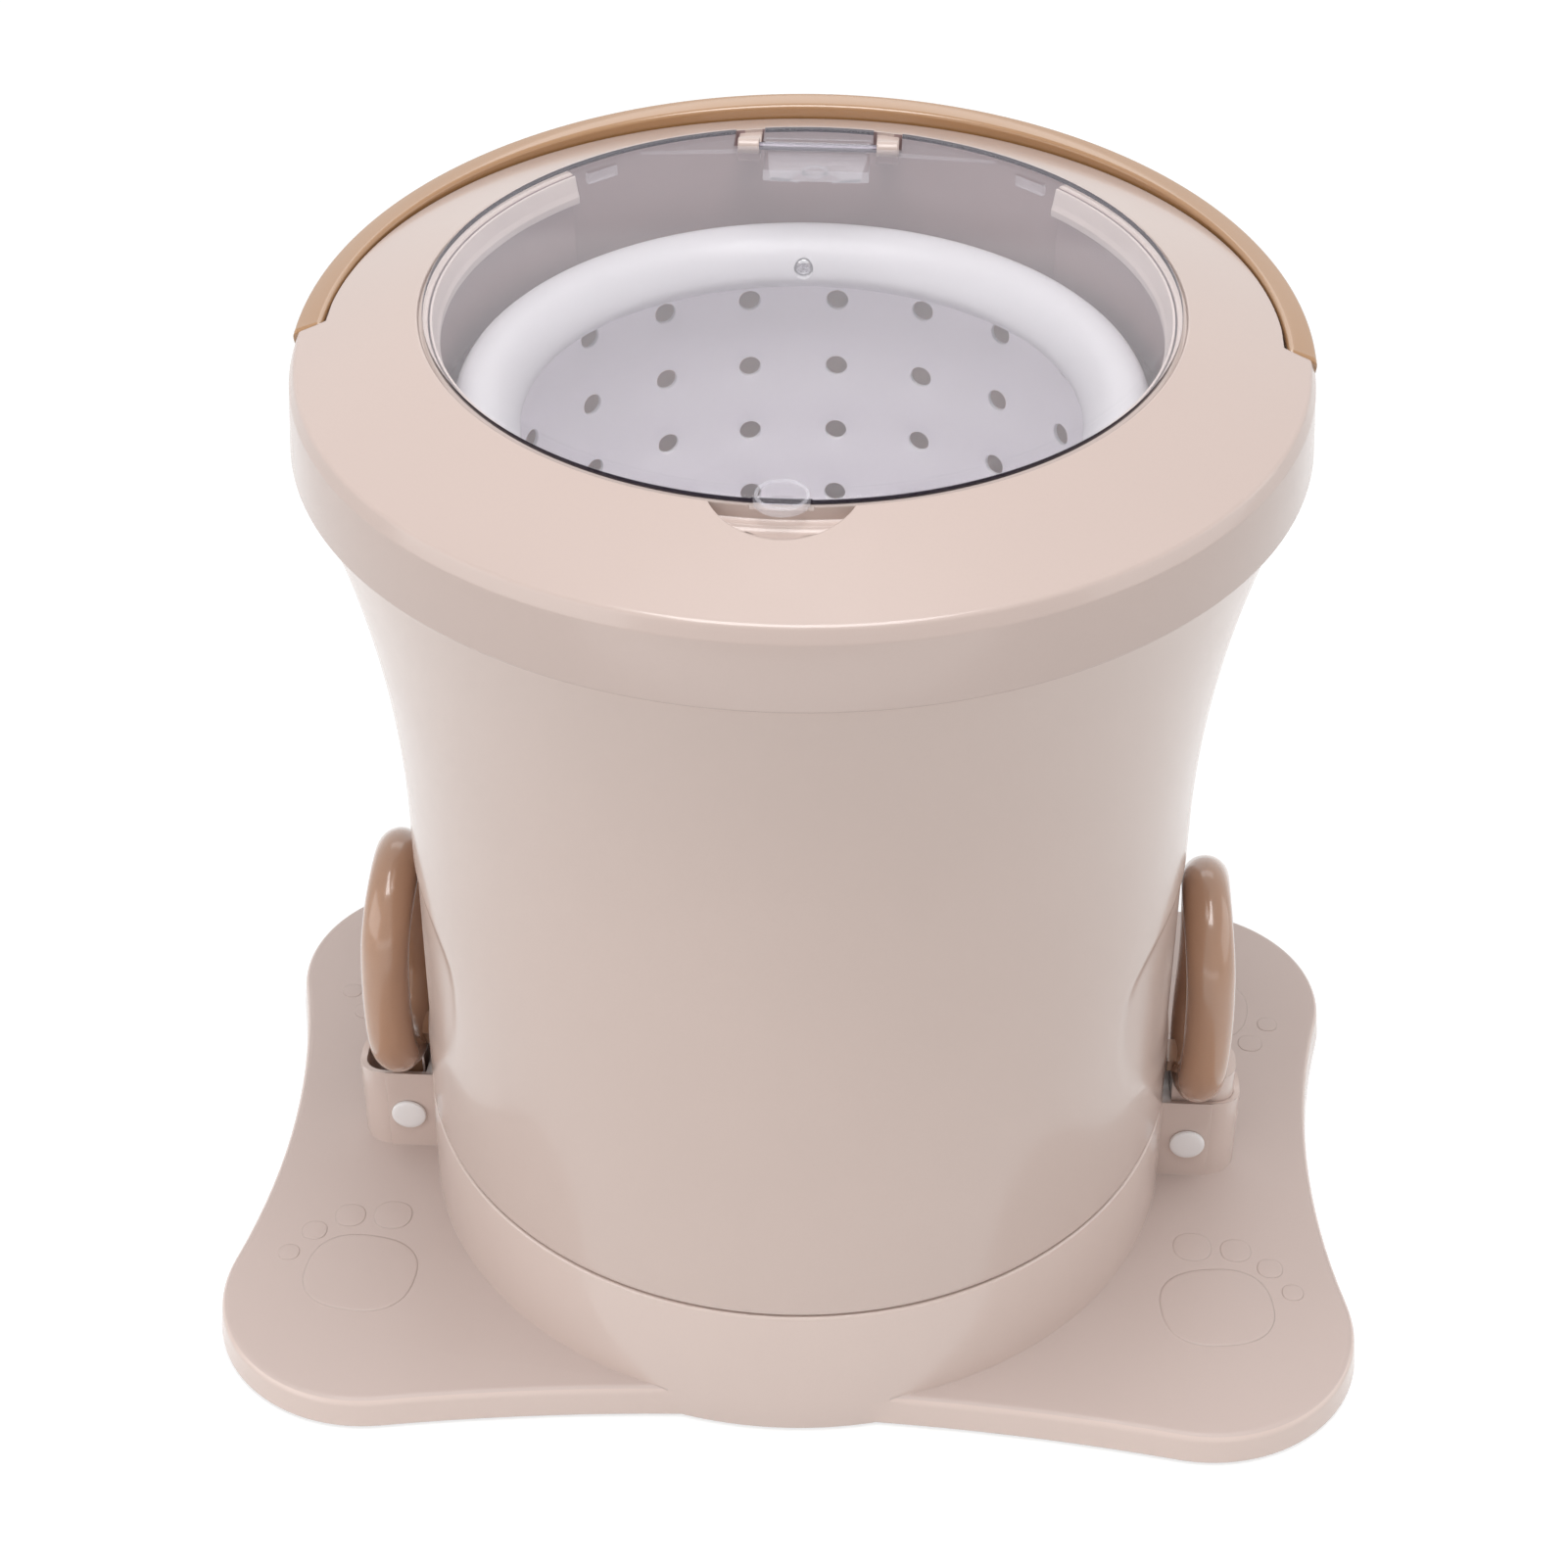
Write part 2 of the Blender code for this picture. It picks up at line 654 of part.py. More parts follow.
def make_base(look):
    base = place("base_plate", foot_plate_solid(), look)
    skirt = [(0, RIM_Z), (SKIRT_FOOT_R, RIM_Z), (SKIRT_FOOT_R, PLATE_TOP_Z), (BARREL_R, SEAM_Z), (0, SEAM_Z)]
    join(base, turned(skirt, BIG_SIDES))
    for side in (-1, 1):
        outline = pocket_outline(side, 0, BARREL_R - SKIRT_WALL / 2)
        pocket = join(base, prism(outline, PLATE_TOP_Z - PLATE_WALL / 2, POCKET_TOP_Z))
        low, high = sorted((side * (BARREL_R - OVERRUN), side * (POCKET_OUT_X + OVERRUN)))
        saddle_r = RING_HALF_Y + RING_WIRE_R + SADDLE_GAP
        cut(pocket, bar_along("X", saddle_r, low, high, (0, RING_LOW_Z), MID_SIDES))
    under_z = PLATE_TOP_Z - PLATE_WALL
    cut(base, prism(plate_outline(-PLATE_WALL), RIM_Z - OVERRUN, under_z))
    cut(base, disc(SKIRT_FOOT_R - PLATE_WALL, RIM_Z - OVERRUN, under_z, BIG_SIDES, start=0))
    cut(base, disc(BARREL_R - SKIRT_WALL, PLATE_TOP_Z, SEAM_Z + OVERRUN, BIG_SIDES, start=0))
    for side in (-1, 1):
        cavity_z = PIVOT_Z - TONGUE_R - POCKET_WALL
        cut(base, prism(pocket_outline(side, POCKET_WALL, POCKET_IN_X), cavity_z, POCKET_TOP_Z + OVERRUN))
        reach = POCKET_HALF_Y + OVERRUN
        cut(base, bar_along("Y", PIN_R + RUN_GAP, -reach, reach, (side * PIVOT_X, PIVOT_Z), SMALL_SIDES))
    boss_low = RIM_Z + COVER_T + 2 * TOUCH_GAP
    for x, y in boss_places():
        join(base, disc(BOSS_R, boss_low, PLATE_TOP_Z - PLATE_WALL / 2, SMALL_SIDES, (x, y)))
        cut(base, disc(SCREW_R + TOUCH_GAP, RIM_Z, PLATE_TOP_Z - PLATE_WALL, TINY_SIDES, (x, y)))
    cut(base, disc(ROD_THREAD_R + TOUCH_GAP, RIM_Z, PLATE_TOP_Z + OVERRUN, SMALL_SIDES))
    for x, y in ring_places(FLANGE_SCREWS, FLANGE_SCREW_AT):
        cut(base, disc(SCREW_R + TOUCH_GAP, RIM_Z, PLATE_TOP_Z + OVERRUN, TINY_SIDES, (x, y)))
    return base


def boss_places():
    return [(x * BOSS_X, y * BOSS_Y) for x in (-1, 1) for y in (-1, 1)]


def make_underside(look_cover, look_foot, look_screw):
    low = RIM_Z
    high = RIM_Z + COVER_T
    cover = place("bottom_cover", prism(plate_outline(-PLATE_WALL - TOUCH_GAP), low, high), look_cover)
    join(cover, disc(SKIRT_FOOT_R - PLATE_WALL - TOUCH_GAP, low, high, BIG_SIDES, start=0))
    for x, y in boss_places():
        cut(cover, disc(SCREW_R + TOUCH_GAP, low - OVERRUN, high + OVERRUN, TINY_SIDES, (x, y)))
    head_room = SCREW_HEAD_H / 2
    for k, (x, y) in enumerate(boss_places()):
        cut(cover, disc(SCREW_HEAD_R + TOUCH_GAP, low - OVERRUN, low + head_room, SMALL_SIDES, (x, y)))
        depth = PLATE_TOP_Z - PLATE_WALL - TOUCH_GAP - (low + head_room)
        screw("base_screw_" + str(k + 1), (x, y), low + head_room - TOUCH_GAP, depth, look_screw)
    places = [(x * FOOT_X, y * FOOT_Y) for x in (-1, 1) for y in (-1, 1)]
    for k, (x, y) in enumerate(places):
        place("foot_" + str(k + 1), disc(FOOT_R, 0, low - TOUCH_GAP, SMALL_SIDES, (x, y)), look_foot)


# Twisted rod

def twisted_square(side, low, high, steps, lead, full):
    """Square bar twisted once per lead. A full one has every face split so that it bulges, never sinks."""
    rings = []
    corner = side / math.sqrt(2)
    for k in range(steps + 1):
        height = low + (high - low) * k / steps
        turn = 2 * math.pi * (height - PLATE_TOP_Z) / lead
        ring = []
        for j in range(4):
            angle = turn + math.pi / 4 + math.pi / 2 * j
            ring.append((corner * math.cos(angle), corner * math.sin(angle), height))
        rings.append(ring)
    bm = bmesh.new()
    made = [[bm.verts.new(point) for point in ring] for ring in rings]
    for lower, upper in zip(made, made[1:]):
        for k in range(4):
            after = (k + 1) % 4
            if full:
                bm.faces.new((lower[k], lower[after], upper[k]))
                bm.faces.new((lower[after], upper[after], upper[k]))
            else:
                bm.faces.new((lower[k], lower[after], upper[after]))
                bm.faces.new((lower[k], upper[after], upper[k]))
    bm.faces.new(made[0])
    bm.faces.new(made[-1])
    return bm


def hexagon(across):
    corner = across / math.sqrt(3)
    angles = [math.pi / 3 * k for k in range(6)]
    return [(corner * math.cos(angle), corner * math.sin(angle)) for angle in angles]


def rod_top_z():
    """The drive nut meets the stop on the rod's end when the barrel is fully lifted."""
    return nut_low() + NUT_BODY_H + LIFT + RUN_GAP


def make_rod(look_steel, look_nut):
    flange_z = PLATE_TOP_Z + TOUCH_GAP
    shoulder_z = flange_z + FLANGE_T + TOUCH_GAP
    bar_z = shoulder_z + ROD_SHOULDER_H
    nut_z = PLATE_TOP_Z - PLATE_WALL - TOUCH_GAP
    tail_z = RIM_Z + COVER_T + TOUCH_GAP
    top_z = rod_top_z()
    bar = twisted_square(ROD_SIDE, bar_z - TOUCH_GAP, top_z, ROD_STEPS, ROD_LEAD, False)
    rod = place("helical_rod", bar, look_steel)
    foot = [
        (0, tail_z),
        (ROD_THREAD_R, tail_z),
        (ROD_THREAD_R, shoulder_z),
        (ROD_SHOULDER_R, shoulder_z),
        (ROD_SHOULDER_R, bar_z),
        (0, bar_z),
    ]
    join(rod, turned(foot, SMALL_SIDES))
    stud_top = top_z + ROD_STUD_H
    join(rod, disc(ROD_STUD_R, top_z - TOUCH_GAP, stud_top, SMALL_SIDES))
    flange_top = flange_z + FLANGE_T
    hub_r = ROD_THREAD_R + TOUCH_GAP
    flange = place("rod_flange", washer(hub_r, FLANGE_R, flange_z, flange_top, MID_SIDES), look_steel)
    for k, (x, y) in enumerate(ring_places(FLANGE_SCREWS, FLANGE_SCREW_AT)):
        cut(flange, disc(SCREW_R + TOUCH_GAP, flange_z - OVERRUN, flange_top + OVERRUN, TINY_SIDES, (x, y)))
        depth = FLANGE_T + PLATE_WALL
        name = "flange_screw_" + str(k + 1)
        screw(name, (x, y), flange_top + TOUCH_GAP, depth, look_nut, upward=False)
    nut = place("rod_nut", prism(hexagon(NUT_ACROSS), nut_z - NUT_H, nut_z), look_nut)
    cut(nut, disc(ROD_THREAD_R + TOUCH_GAP, nut_z - NUT_H - OVERRUN, nut_z + OVERRUN, SMALL_SIDES))
    stop_low = top_z + TOUCH_GAP
    stop = [
        (0, stop_low + STOP_H),
        (STOP_R, stop_low + STOP_H),
        (STOP_R, stop_low),
        (ROD_STUD_R + TOUCH_GAP, stop_low),
        (ROD_STUD_R + TOUCH_GAP, stud_top + TOUCH_GAP),
        (0, stud_top + TOUCH_GAP),
    ]
    place("rod_stop", turned(stop, SMALL_SIDES), look_nut)


def make_landing_ring(look):
    low = PLATE_TOP_Z + TOUCH_GAP
    outer = BARREL_R - SKIRT_WALL - TOUCH_GAP
    place("landing_ring", washer(LANDING_IN_R, outer, low, low + LANDING_H, BIG_SIDES), look)


# Latches

def ring_x(height):
    """The ring bows in towards the barrel above and below its middle."""
    return RING_MID_X - (height - RING_MID_Z) ** 2 / (2 * RING_BOW_R)


def ring_path(side):
    """Oval loop seen from the side: two legs and two half circles."""
    points = []
    for k in range(RING_ARC_STEPS + 1):
        angle = math.pi * k / RING_ARC_STEPS
        points.append((RING_HALF_Y * math.cos(angle), RING_HIGH_Z + RING_HALF_Y * math.sin(angle)))
    for k in range(1, RING_LEG_STEPS):
        points.append((-RING_HALF_Y, RING_HIGH_Z + (RING_LOW_Z - RING_HIGH_Z) * k / RING_LEG_STEPS))
    for k in range(RING_ARC_STEPS + 1):
        angle = math.pi + math.pi * k / RING_ARC_STEPS
        points.append((RING_HALF_Y * math.cos(angle), RING_LOW_Z + RING_HALF_Y * math.sin(angle)))
    for k in range(1, RING_LEG_STEPS):
        points.append((RING_HALF_Y, RING_LOW_Z + (RING_HIGH_Z - RING_LOW_Z) * k / RING_LEG_STEPS))
    return [(side * ring_x(z), y, z) for y, z in points]


def make_latch(side, word, look_ring, look_pin, look_cap, look_spring):
    pivot = axis_empty("latch_axis_" + word, (side * PIVOT_X, 0, PIVOT_Z))
    loop = swept(ring_path(side), RING_WIRE_R, RING_SIDES, (1, 0, 0), closed=True)
    ring = place("latch_ring_" + word, loop, look_ring, pivot)
    outline = []
    bottom_z = RING_LOW_Z - RING_HALF_Y
    for k in range(7):
        angle = math.pi + math.pi * k / 6
        outline.append((side * PIVOT_X + TONGUE_R * math.cos(angle), PIVOT_Z + TONGUE_R * math.sin(angle)))
    outline.append((side * PIVOT_X + TONGUE_R, bottom_z))
    outline.append((side * PIVOT_X - TONGUE_R, bottom_z))
    tongue = prism(outline, -TONGUE_HALF_Y, TONGUE_HALF_Y)
    rotate(tongue, 90, "X")
    join(ring, tongue)
    tip = BARREL_R + NOSE_GAP
    low, high = sorted((side * tip, side * PIVOT_X))
    join(ring, block((low, -TONGUE_HALF_Y, NOSE_LOW_Z), (high, TONGUE_HALF_Y, NOSE_LOW_Z + NOSE_H)))
    reach = TONGUE_HALF_Y + OVERRUN
    cut(ring, bar_along("Y", PIN_R + RUN_GAP, -reach, reach, (side * PIVOT_X, PIVOT_Z), SMALL_SIDES))
    front = -POCKET_HALF_Y - TOUCH_GAP
    back = POCKET_HALF_Y
    pin = bar_along("Y", PIN_R, front, back, (side * PIVOT_X, PIVOT_Z), SMALL_SIDES)
    place("latch_pin_" + word, pin, look_pin)
    cap_profile = [
        (0, 0),
        (CAP_R, 0),
        (CAP_R, CAP_H / 2),
        (CAP_R - CAP_H / 2, CAP_H),
        (0, CAP_H),
    ]
    cap = turned(cap_profile, SMALL_SIDES)
    rotate(cap, 90, "X")
    move(cap, (side * PIVOT_X, front - TOUCH_GAP, PIVOT_Z))
    place("pin_cap_" + word, cap, look_cap)
    wire = swept(spring_path(side), SPRING_WIRE_R, SPRING_SIDES, (0, 1, 0))
    place("latch_spring_" + word, wire, look_spring)


def spring_path(side):
    """Coil round the pin in front of the tongue, with one leg up the pocket's inner wall."""
    start_y = -(TONGUE_HALF_Y + TOUCH_GAP + SPRING_WIRE_R)
    points = []
    count = int(SPRING_TURNS * SPRING_TURN_POINTS)
    for k in range(count + 1):
        turn = 2 * math.pi * k / SPRING_TURN_POINTS
        x = PIVOT_X + SPRING_R * math.cos(turn)
        z = PIVOT_Z - SPRING_R * math.sin(turn)
        points.append((side * x, start_y - SPRING_PITCH * k / SPRING_TURN_POINTS, z))
    last_y = points[-1][1]
    leg_x = POCKET_IN_X + SPRING_WIRE_R + TOUCH_GAP
    points.append((side * leg_x, last_y, PIVOT_Z + SPRING_R))
    points.append((side * leg_x, last_y, SPRING_TOP_Z))
    return points


# Barrel

def barrel_radius(height):
    """Straight below, then flaring on a large circle."""
    if height <= FLARE_Z:
        return BARREL_R
    rise = height - FLARE_Z
    return BARREL_R + FLARE_RADIUS - math.sqrt(FLARE_RADIUS ** 2 - rise ** 2)


def recess_depth(x, y, height):
    """How far the outside is pressed in behind each pull ring."""
    middle = (HAND_RECESS_LOW_Z + HAND_RECESS_HIGH_Z) / 2
    half = (HAND_RECESS_HIGH_Z - HAND_RECESS_LOW_Z) / 2
    along = math.degrees(math.atan2(abs(y), abs(x))) / HAND_RECESS_ANGLE
    away = math.hypot(along, (height - middle) / half)
    depth_share = max(0.0, min(1.0, (1 - away) / HAND_RECESS_EDGE_SHARE))
    return HAND_RECESS_DEPTH * depth_share


def barrel_profile():
    """Straight part with the floor, up to the tongue that carries the flared part."""
    nest_r = BARREL_R - SKIRT_WALL - NEST_GAP
    seam = SEAM_Z + TOUCH_GAP
    outer = [(nest_r - BARREL_WALL, NEST_LOW_Z), (nest_r, NEST_LOW_Z), (nest_r, seam), (BARREL_R, seam)]
    spread = HAND_RECESS_HIGH_Z - HAND_RECESS_LOW_Z
    margin = spread * HAND_RECESS_EDGE_SHARE / 2
    for k in range(HAND_RECESS_ROWS + 1):
        height = HAND_RECESS_LOW_Z - margin / 2 + (spread + margin) * k / HAND_RECESS_ROWS
        outer.append((barrel_radius(height), height))
    split = barrel_radius(SPLIT_Z)
    tongue_r = split - BARREL_WALL + SPLIT_TONGUE_T
    tongue = [
        (split, SPLIT_Z),
        (tongue_r, SPLIT_Z),
        (tongue_r, SPLIT_Z + SPLIT_TONGUE_H),
        (split - BARREL_WALL, SPLIT_Z + SPLIT_TONGUE_H),
        (BARREL_R - BARREL_WALL, FLARE_Z),
    ]
    floor = [
        (BARREL_R - SKIRT_WALL - NEST_GAP - BARREL_WALL, FLOOR_Z + BARREL_WALL * 2),
        (BARREL_R - SKIRT_WALL - NEST_GAP - BARREL_WALL * 2, FLOOR_Z + BARREL_WALL),
        (HOUSING_R + TOUCH_GAP, FLOOR_Z + BARREL_WALL),
        (HOUSING_R + TOUCH_GAP, FLOOR_Z),
        (nest_r - BARREL_WALL, FLOOR_Z),
    ]
    return outer + tongue + floor


def flare_profile():
    """Flared part, with a groove over the tongue below and a lip under the collar above."""
    split = barrel_radius(SPLIT_Z)
    groove_r = split - BARREL_WALL + SPLIT_TONGUE_T + TOUCH_GAP
    groove_top = SPLIT_Z + SPLIT_TONGUE_H + TOUCH_GAP
    low = SPLIT_Z + TOUCH_GAP
    outer = [(groove_r, low)]
    for k in range(FLARE_ROWS):
        height = low + (BARREL_TOP_Z - low) * k / (FLARE_ROWS - 1)
        outer.append((barrel_radius(height), height))
    top = barrel_radius(BARREL_TOP_Z)
    outer.append((top, BARREL_TOP_Z + LIP_H))
    outer.append((top - BARREL_WALL, BARREL_TOP_Z + LIP_H))
    inner = []
    for k in range(FLARE_ROWS):
        height = BARREL_TOP_Z - (BARREL_TOP_Z - groove_top) * k / (FLARE_ROWS - 1)
        inner.append((barrel_radius(height) - BARREL_WALL, height))
    return outer + inner + [(groove_r, groove_top)]


def make_barrel(look):
    bm = turned(barrel_profile(), BIG_SIDES)
    for vert in bm.verts:
        x, y, z = vert.co
        reach = math.hypot(x, y)
        if abs(reach - barrel_radius(z)) < TOUCH_GAP and HAND_RECESS_LOW_Z < z < HAND_RECESS_HIGH_Z:
            share = (reach - recess_depth(x, y, z)) / reach
            vert.co.x *= share
            vert.co.y *= share
    barrel = place("barrel_shell", bm, look)
    for side in (-1, 1):
        low, high = sorted((side * (BARREL_R + OVERRUN), side * (BARREL_R - 3 * OVERRUN)))
        cut(barrel, block((low, -SLOT_HALF_Y, SLOT_LOW_Z), (high, SLOT_HALF_Y, SLOT_LOW_Z + SLOT_H)))
    near = BARREL_R - 4 * OVERRUN
    cut(barrel, bar_along("Y", DRAIN_R, near, BARREL_R + OVERRUN, (0, DRAIN_Z), SMALL_SIDES))
    drill_top = FLOOR_Z + BARREL_WALL + OVERRUN
    for x, y in ring_places(HOUSING_SCREWS, HOUSING_SCREW_AT):
        cut(barrel, disc(SCREW_R + TOUCH_GAP, FLOOR_Z - OVERRUN, drill_top, TINY_SIDES, (x, y)))
    flare = place("barrel_flare", turned(flare_profile(), BIG_SIDES), look)
    drill_collar_screws(flare)


def make_drain_plug(look):
    inner = BARREL_R - 2 * BARREL_WALL - NEST_GAP
    profile = [
        (0, inner),
        (DRAIN_R - TOUCH_GAP, inner),
        (DRAIN_R - TOUCH_GAP, BARREL_R + TOUCH_GAP),
        (DRAIN_HEAD_R, BARREL_R + TOUCH_GAP),
        (DRAIN_HEAD_R, BARREL_R + DRAIN_HEAD_H),
        (0, BARREL_R + DRAIN_HEAD_H),
    ]
    bm = turned(profile, SMALL_SIDES)
    rotate(bm, -90, "X")
    move(bm, (0, 0, DRAIN_Z))
    place("drain_plug", bm, look)


# Collar

def top_face_z(radius):
    """Height of the collar's sloping top face."""
    share = (radius - SEAT_R) / (COLLAR_TOP_R - SEAT_R)
    return SEAT_RIM_Z + (COLLAR_TOP_Z - SEAT_RIM_Z) * share


def collar_profile():
    shell = COLLAR_WALL
    lip_r = barrel_radius(BARREL_TOP_Z) + TOUCH_GAP
    return [
        (lip_r, COLLAR_SEAM_Z),
        (COLLAR_SEAM_R, COLLAR_SEAM_Z),
        (COLLAR_CREASE_R, COLLAR_CREASE_Z),
        (COLLAR_TOP_R, COLLAR_TOP_Z),
        (SEAT_R, SEAT_RIM_Z),
        (SEAT_R, SEAT_Z),
        (TUB_R, SEAT_Z),
        (TUB_R, TUB_LOW_Z),
        (TUB_R + TUB_WALL, TUB_LOW_Z),
        (TUB_R + TUB_WALL, top_face_z(TUB_R + TUB_WALL) - shell),
        (COLLAR_TOP_R - shell, top_face_z(COLLAR_TOP_R - shell) - shell),
        (lip_r, COLLAR_CREASE_Z - 2 * shell),
    ]


def finger_outline():
    """Crescent between the lid seat and the finger recess's own circle."""
    inner = SEAT_R + FINGER_RIM
    drop = (inner ** 2 - FINGER_Y ** 2 - FINGER_R ** 2) / (2 * FINGER_Y)
    half_x = math.sqrt(FINGER_R ** 2 - drop ** 2)
    start = math.atan2(-drop, -half_x)
    finish = math.atan2(-drop, half_x)
    points = []
    for k in range(FINGER_ARC_STEPS + 1):
        angle = start + (finish - start) * k / FINGER_ARC_STEPS
        points.append((FINGER_R * math.cos(angle), -FINGER_Y + FINGER_R * math.sin(angle)))
    edge = math.asin(half_x / inner)
    for k in range(1, FINGER_STEPS):
        angle = edge - 2 * edge * k / FINGER_STEPS
        points.append((inner * math.sin(angle), -inner * math.cos(angle)))
    return points


def make_collar(look):
    collar = place("collar", turned(collar_profile(), BIG_SIDES), look)
    shell = GUTTER_WALL
    clear_r = HANDLE_END_R + HANDLE_END_GAP
    end = math.degrees(math.asin((HANDLE_PIVOT_Y + 2 * HANDLE_END_GAP) / GUTTER_R))
    wall_end = math.degrees(math.asin((HANDLE_PIVOT_Y - clear_r - shell) / GUTTER_R))
    filler_top = top_face_z(GUTTER_R) - shell / 2
    filler = [
        (GUTTER_R - shell, GUTTER_Z - shell),
        (COLLAR_CREASE_R - shell / 3, GUTTER_Z - shell),
        (COLLAR_TOP_R - shell / 3, COLLAR_TOP_Z - shell),
        (GUTTER_R - shell, filler_top),
    ]
    join(collar, turned(filler, BIG_SIDES // 2, wall_end, 180 - 2 * wall_end))
    at = (HANDLE_PIVOT_Y, HANDLE_PIVOT_Z)
    for side in (-1, 1):
        low, high = sorted((side * (HANDLE_PIN_IN - shell / 2), side * (GUTTER_R - shell / 2)))
        join(collar, bar_along("X", HANDLE_BOSS_R, low, high, at, SMALL_SIDES))
    sky = SEAT_RIM_Z + 3 * OVERRUN
    rabbet = square_section(GUTTER_R, COLLAR_SEAM_R + OVERRUN, GUTTER_Z, sky)
    cut(collar, turned(rabbet, BIG_SIDES // 2, end, 180 - 2 * end))
    for side in (-1, 1):
        low, high = sorted((side * HANDLE_PIN_IN, side * COLLAR_SEAM_R))
        cut(collar, bar_along("X", HANDLE_PIN_R + TOUCH_GAP, low, high, at, SMALL_SIDES, start=0))
        low, high = sorted((side * (GUTTER_R - TOUCH_GAP), side * (COLLAR_SEAM_R + OVERRUN / 2)))
        cut(collar, bar_along("X", clear_r, low, high, at, MID_SIDES))
    pad_low = FINGER_Z - FINGER_FLOOR_T
    pad_r = FINGER_Y + FINGER_R + COLLAR_WALL
    pad = [
        (TUB_R + TUB_WALL / 2, pad_low),
        (pad_r, pad_low),
        (pad_r, top_face_z(pad_r) - COLLAR_WALL / 2),
        (TUB_R + TUB_WALL / 2, top_face_z(TUB_R + TUB_WALL / 2) - COLLAR_WALL / 2),
    ]
    join(collar, turned(pad, FINGER_STEPS, -90 - FINGER_SECTOR, 2 * FINGER_SECTOR))
    cut(collar, prism(finger_outline(), FINGER_Z, sky))
    notch_half = TAB_R + HINGE_SLOT_GAP
    notch_low = LID_TOP_Z - LID_T - 2 * TOUCH_GAP
    notch_out = SEAT_R + 2 * FINGER_RIM
    cut(collar, block((-notch_half, -notch_out, notch_low), (notch_half, -TUB_R, sky)))
    back_r = SEAT_R + RUN_GAP
    hollow = square_section(TUB_R - OVERRUN, back_r, TUB_LOW_Z - OVERRUN, sky)
    cut(collar, turned(hollow, BACK_STEPS, 90 - BACK_POCKET_ANGLE, 2 * BACK_POCKET_ANGLE))
    at = (LID_PIVOT_Y, LID_PIVOT_Z)
    web_top = LID_TOP_Z - LID_T - 2 * TOUCH_GAP
    for side in (-1, 1):
        near_x = side * (HINGE_EAR_X - HINGE_EAR_HALF_X)
        far_x = side * (HINGE_EAR_X + HINGE_EAR_HALF_X)
        low_x, high_x = sorted((near_x, far_x))
        web_low = web_top - HINGE_RIB_H
        web_back = SEAT_R + COLLAR_WALL / 2
        join(collar, block((low_x, LID_PIVOT_Y - TOUCH_GAP, web_low), (high_x, web_back, web_top)))
        low_x = low_x + TOUCH_GAP
        high_x = high_x - TOUCH_GAP
        join(collar, bar_along("X", KNUCKLE_R, low_x, high_x, at, SMALL_SIDES, start=0))
    reach = HINGE_EAR_X + HINGE_EAR_HALF_X / 2
    cut(collar, bar_along("X", LID_PIN_R + TOUCH_GAP, -reach, reach, at, SMALL_SIDES))
    drill_collar_screws(collar)
    return collar


def make_splash_rim(look):
    out_r = TUB_R * math.cos(math.pi / BIG_SIDES) - TOUCH_GAP
    top = SEAT_Z - TOUCH_GAP
    profile = [
        (out_r, RIM_LOW_Z),
        (out_r, top),
        (out_r - RIM_T / 2, top),
        (RIM_IN_R, RIM_LOW_Z + RIM_T),
        (RIM_IN_R, RIM_LOW_Z),
    ]
    start = 90 + BACK_POCKET_ANGLE
    rim = place("splash_rim", turned(profile, BIG_SIDES, start, 360 - 2 * BACK_POCKET_ANGLE), look)
    deep = RIM_IN_R + RIM_T
    notch_low = (-RIM_NOTCH_HALF, -TUB_R - OVERRUN, RIM_LOW_Z + RIM_T)
    cut(rim, block(notch_low, (RIM_NOTCH_HALF, -deep, top + OVERRUN)))
    return rim


# Carry handle

def handle_section(along, half_height):
    """Section of the handle where its arc is this far back, cut to the height round the pivot."""
    rear = max(0, along) / HANDLE_OUT_R
    high_in = min(HANDLE_IN_TOP_Z + HANDLE_REAR_RISE_IN * rear, HANDLE_PIVOT_Z + half_height)
    high_out = min(HANDLE_OUT_TOP_Z + HANDLE_REAR_RISE_OUT * rear, HANDLE_PIVOT_Z + half_height)
    low = max(HANDLE_LOW_Z, HANDLE_PIVOT_Z - half_height)
    edge = min(HANDLE_EDGE_R, (high_out - low) / 3)
    slope = (high_out - high_in) / HANDLE_WIDTH * edge
    corners = [
        (HANDLE_IN_R + edge, low),
        (HANDLE_OUT_R - edge, low),
        (HANDLE_OUT_R, low + edge),
        (HANDLE_OUT_R, high_out - edge),
        (HANDLE_OUT_R - edge, high_out - slope),
        (HANDLE_IN_R + edge, high_in + slope),
        (HANDLE_IN_R, high_in - edge),
        (HANDLE_IN_R, low + edge),
    ]
    points = []
    for reach, height in corners:
        y = along * (reach / HANDLE_OUT_R if along > HANDLE_PIVOT_Y else 1)
        points.append((math.sqrt(max(0, reach ** 2 - y ** 2)), y, height))
    return points


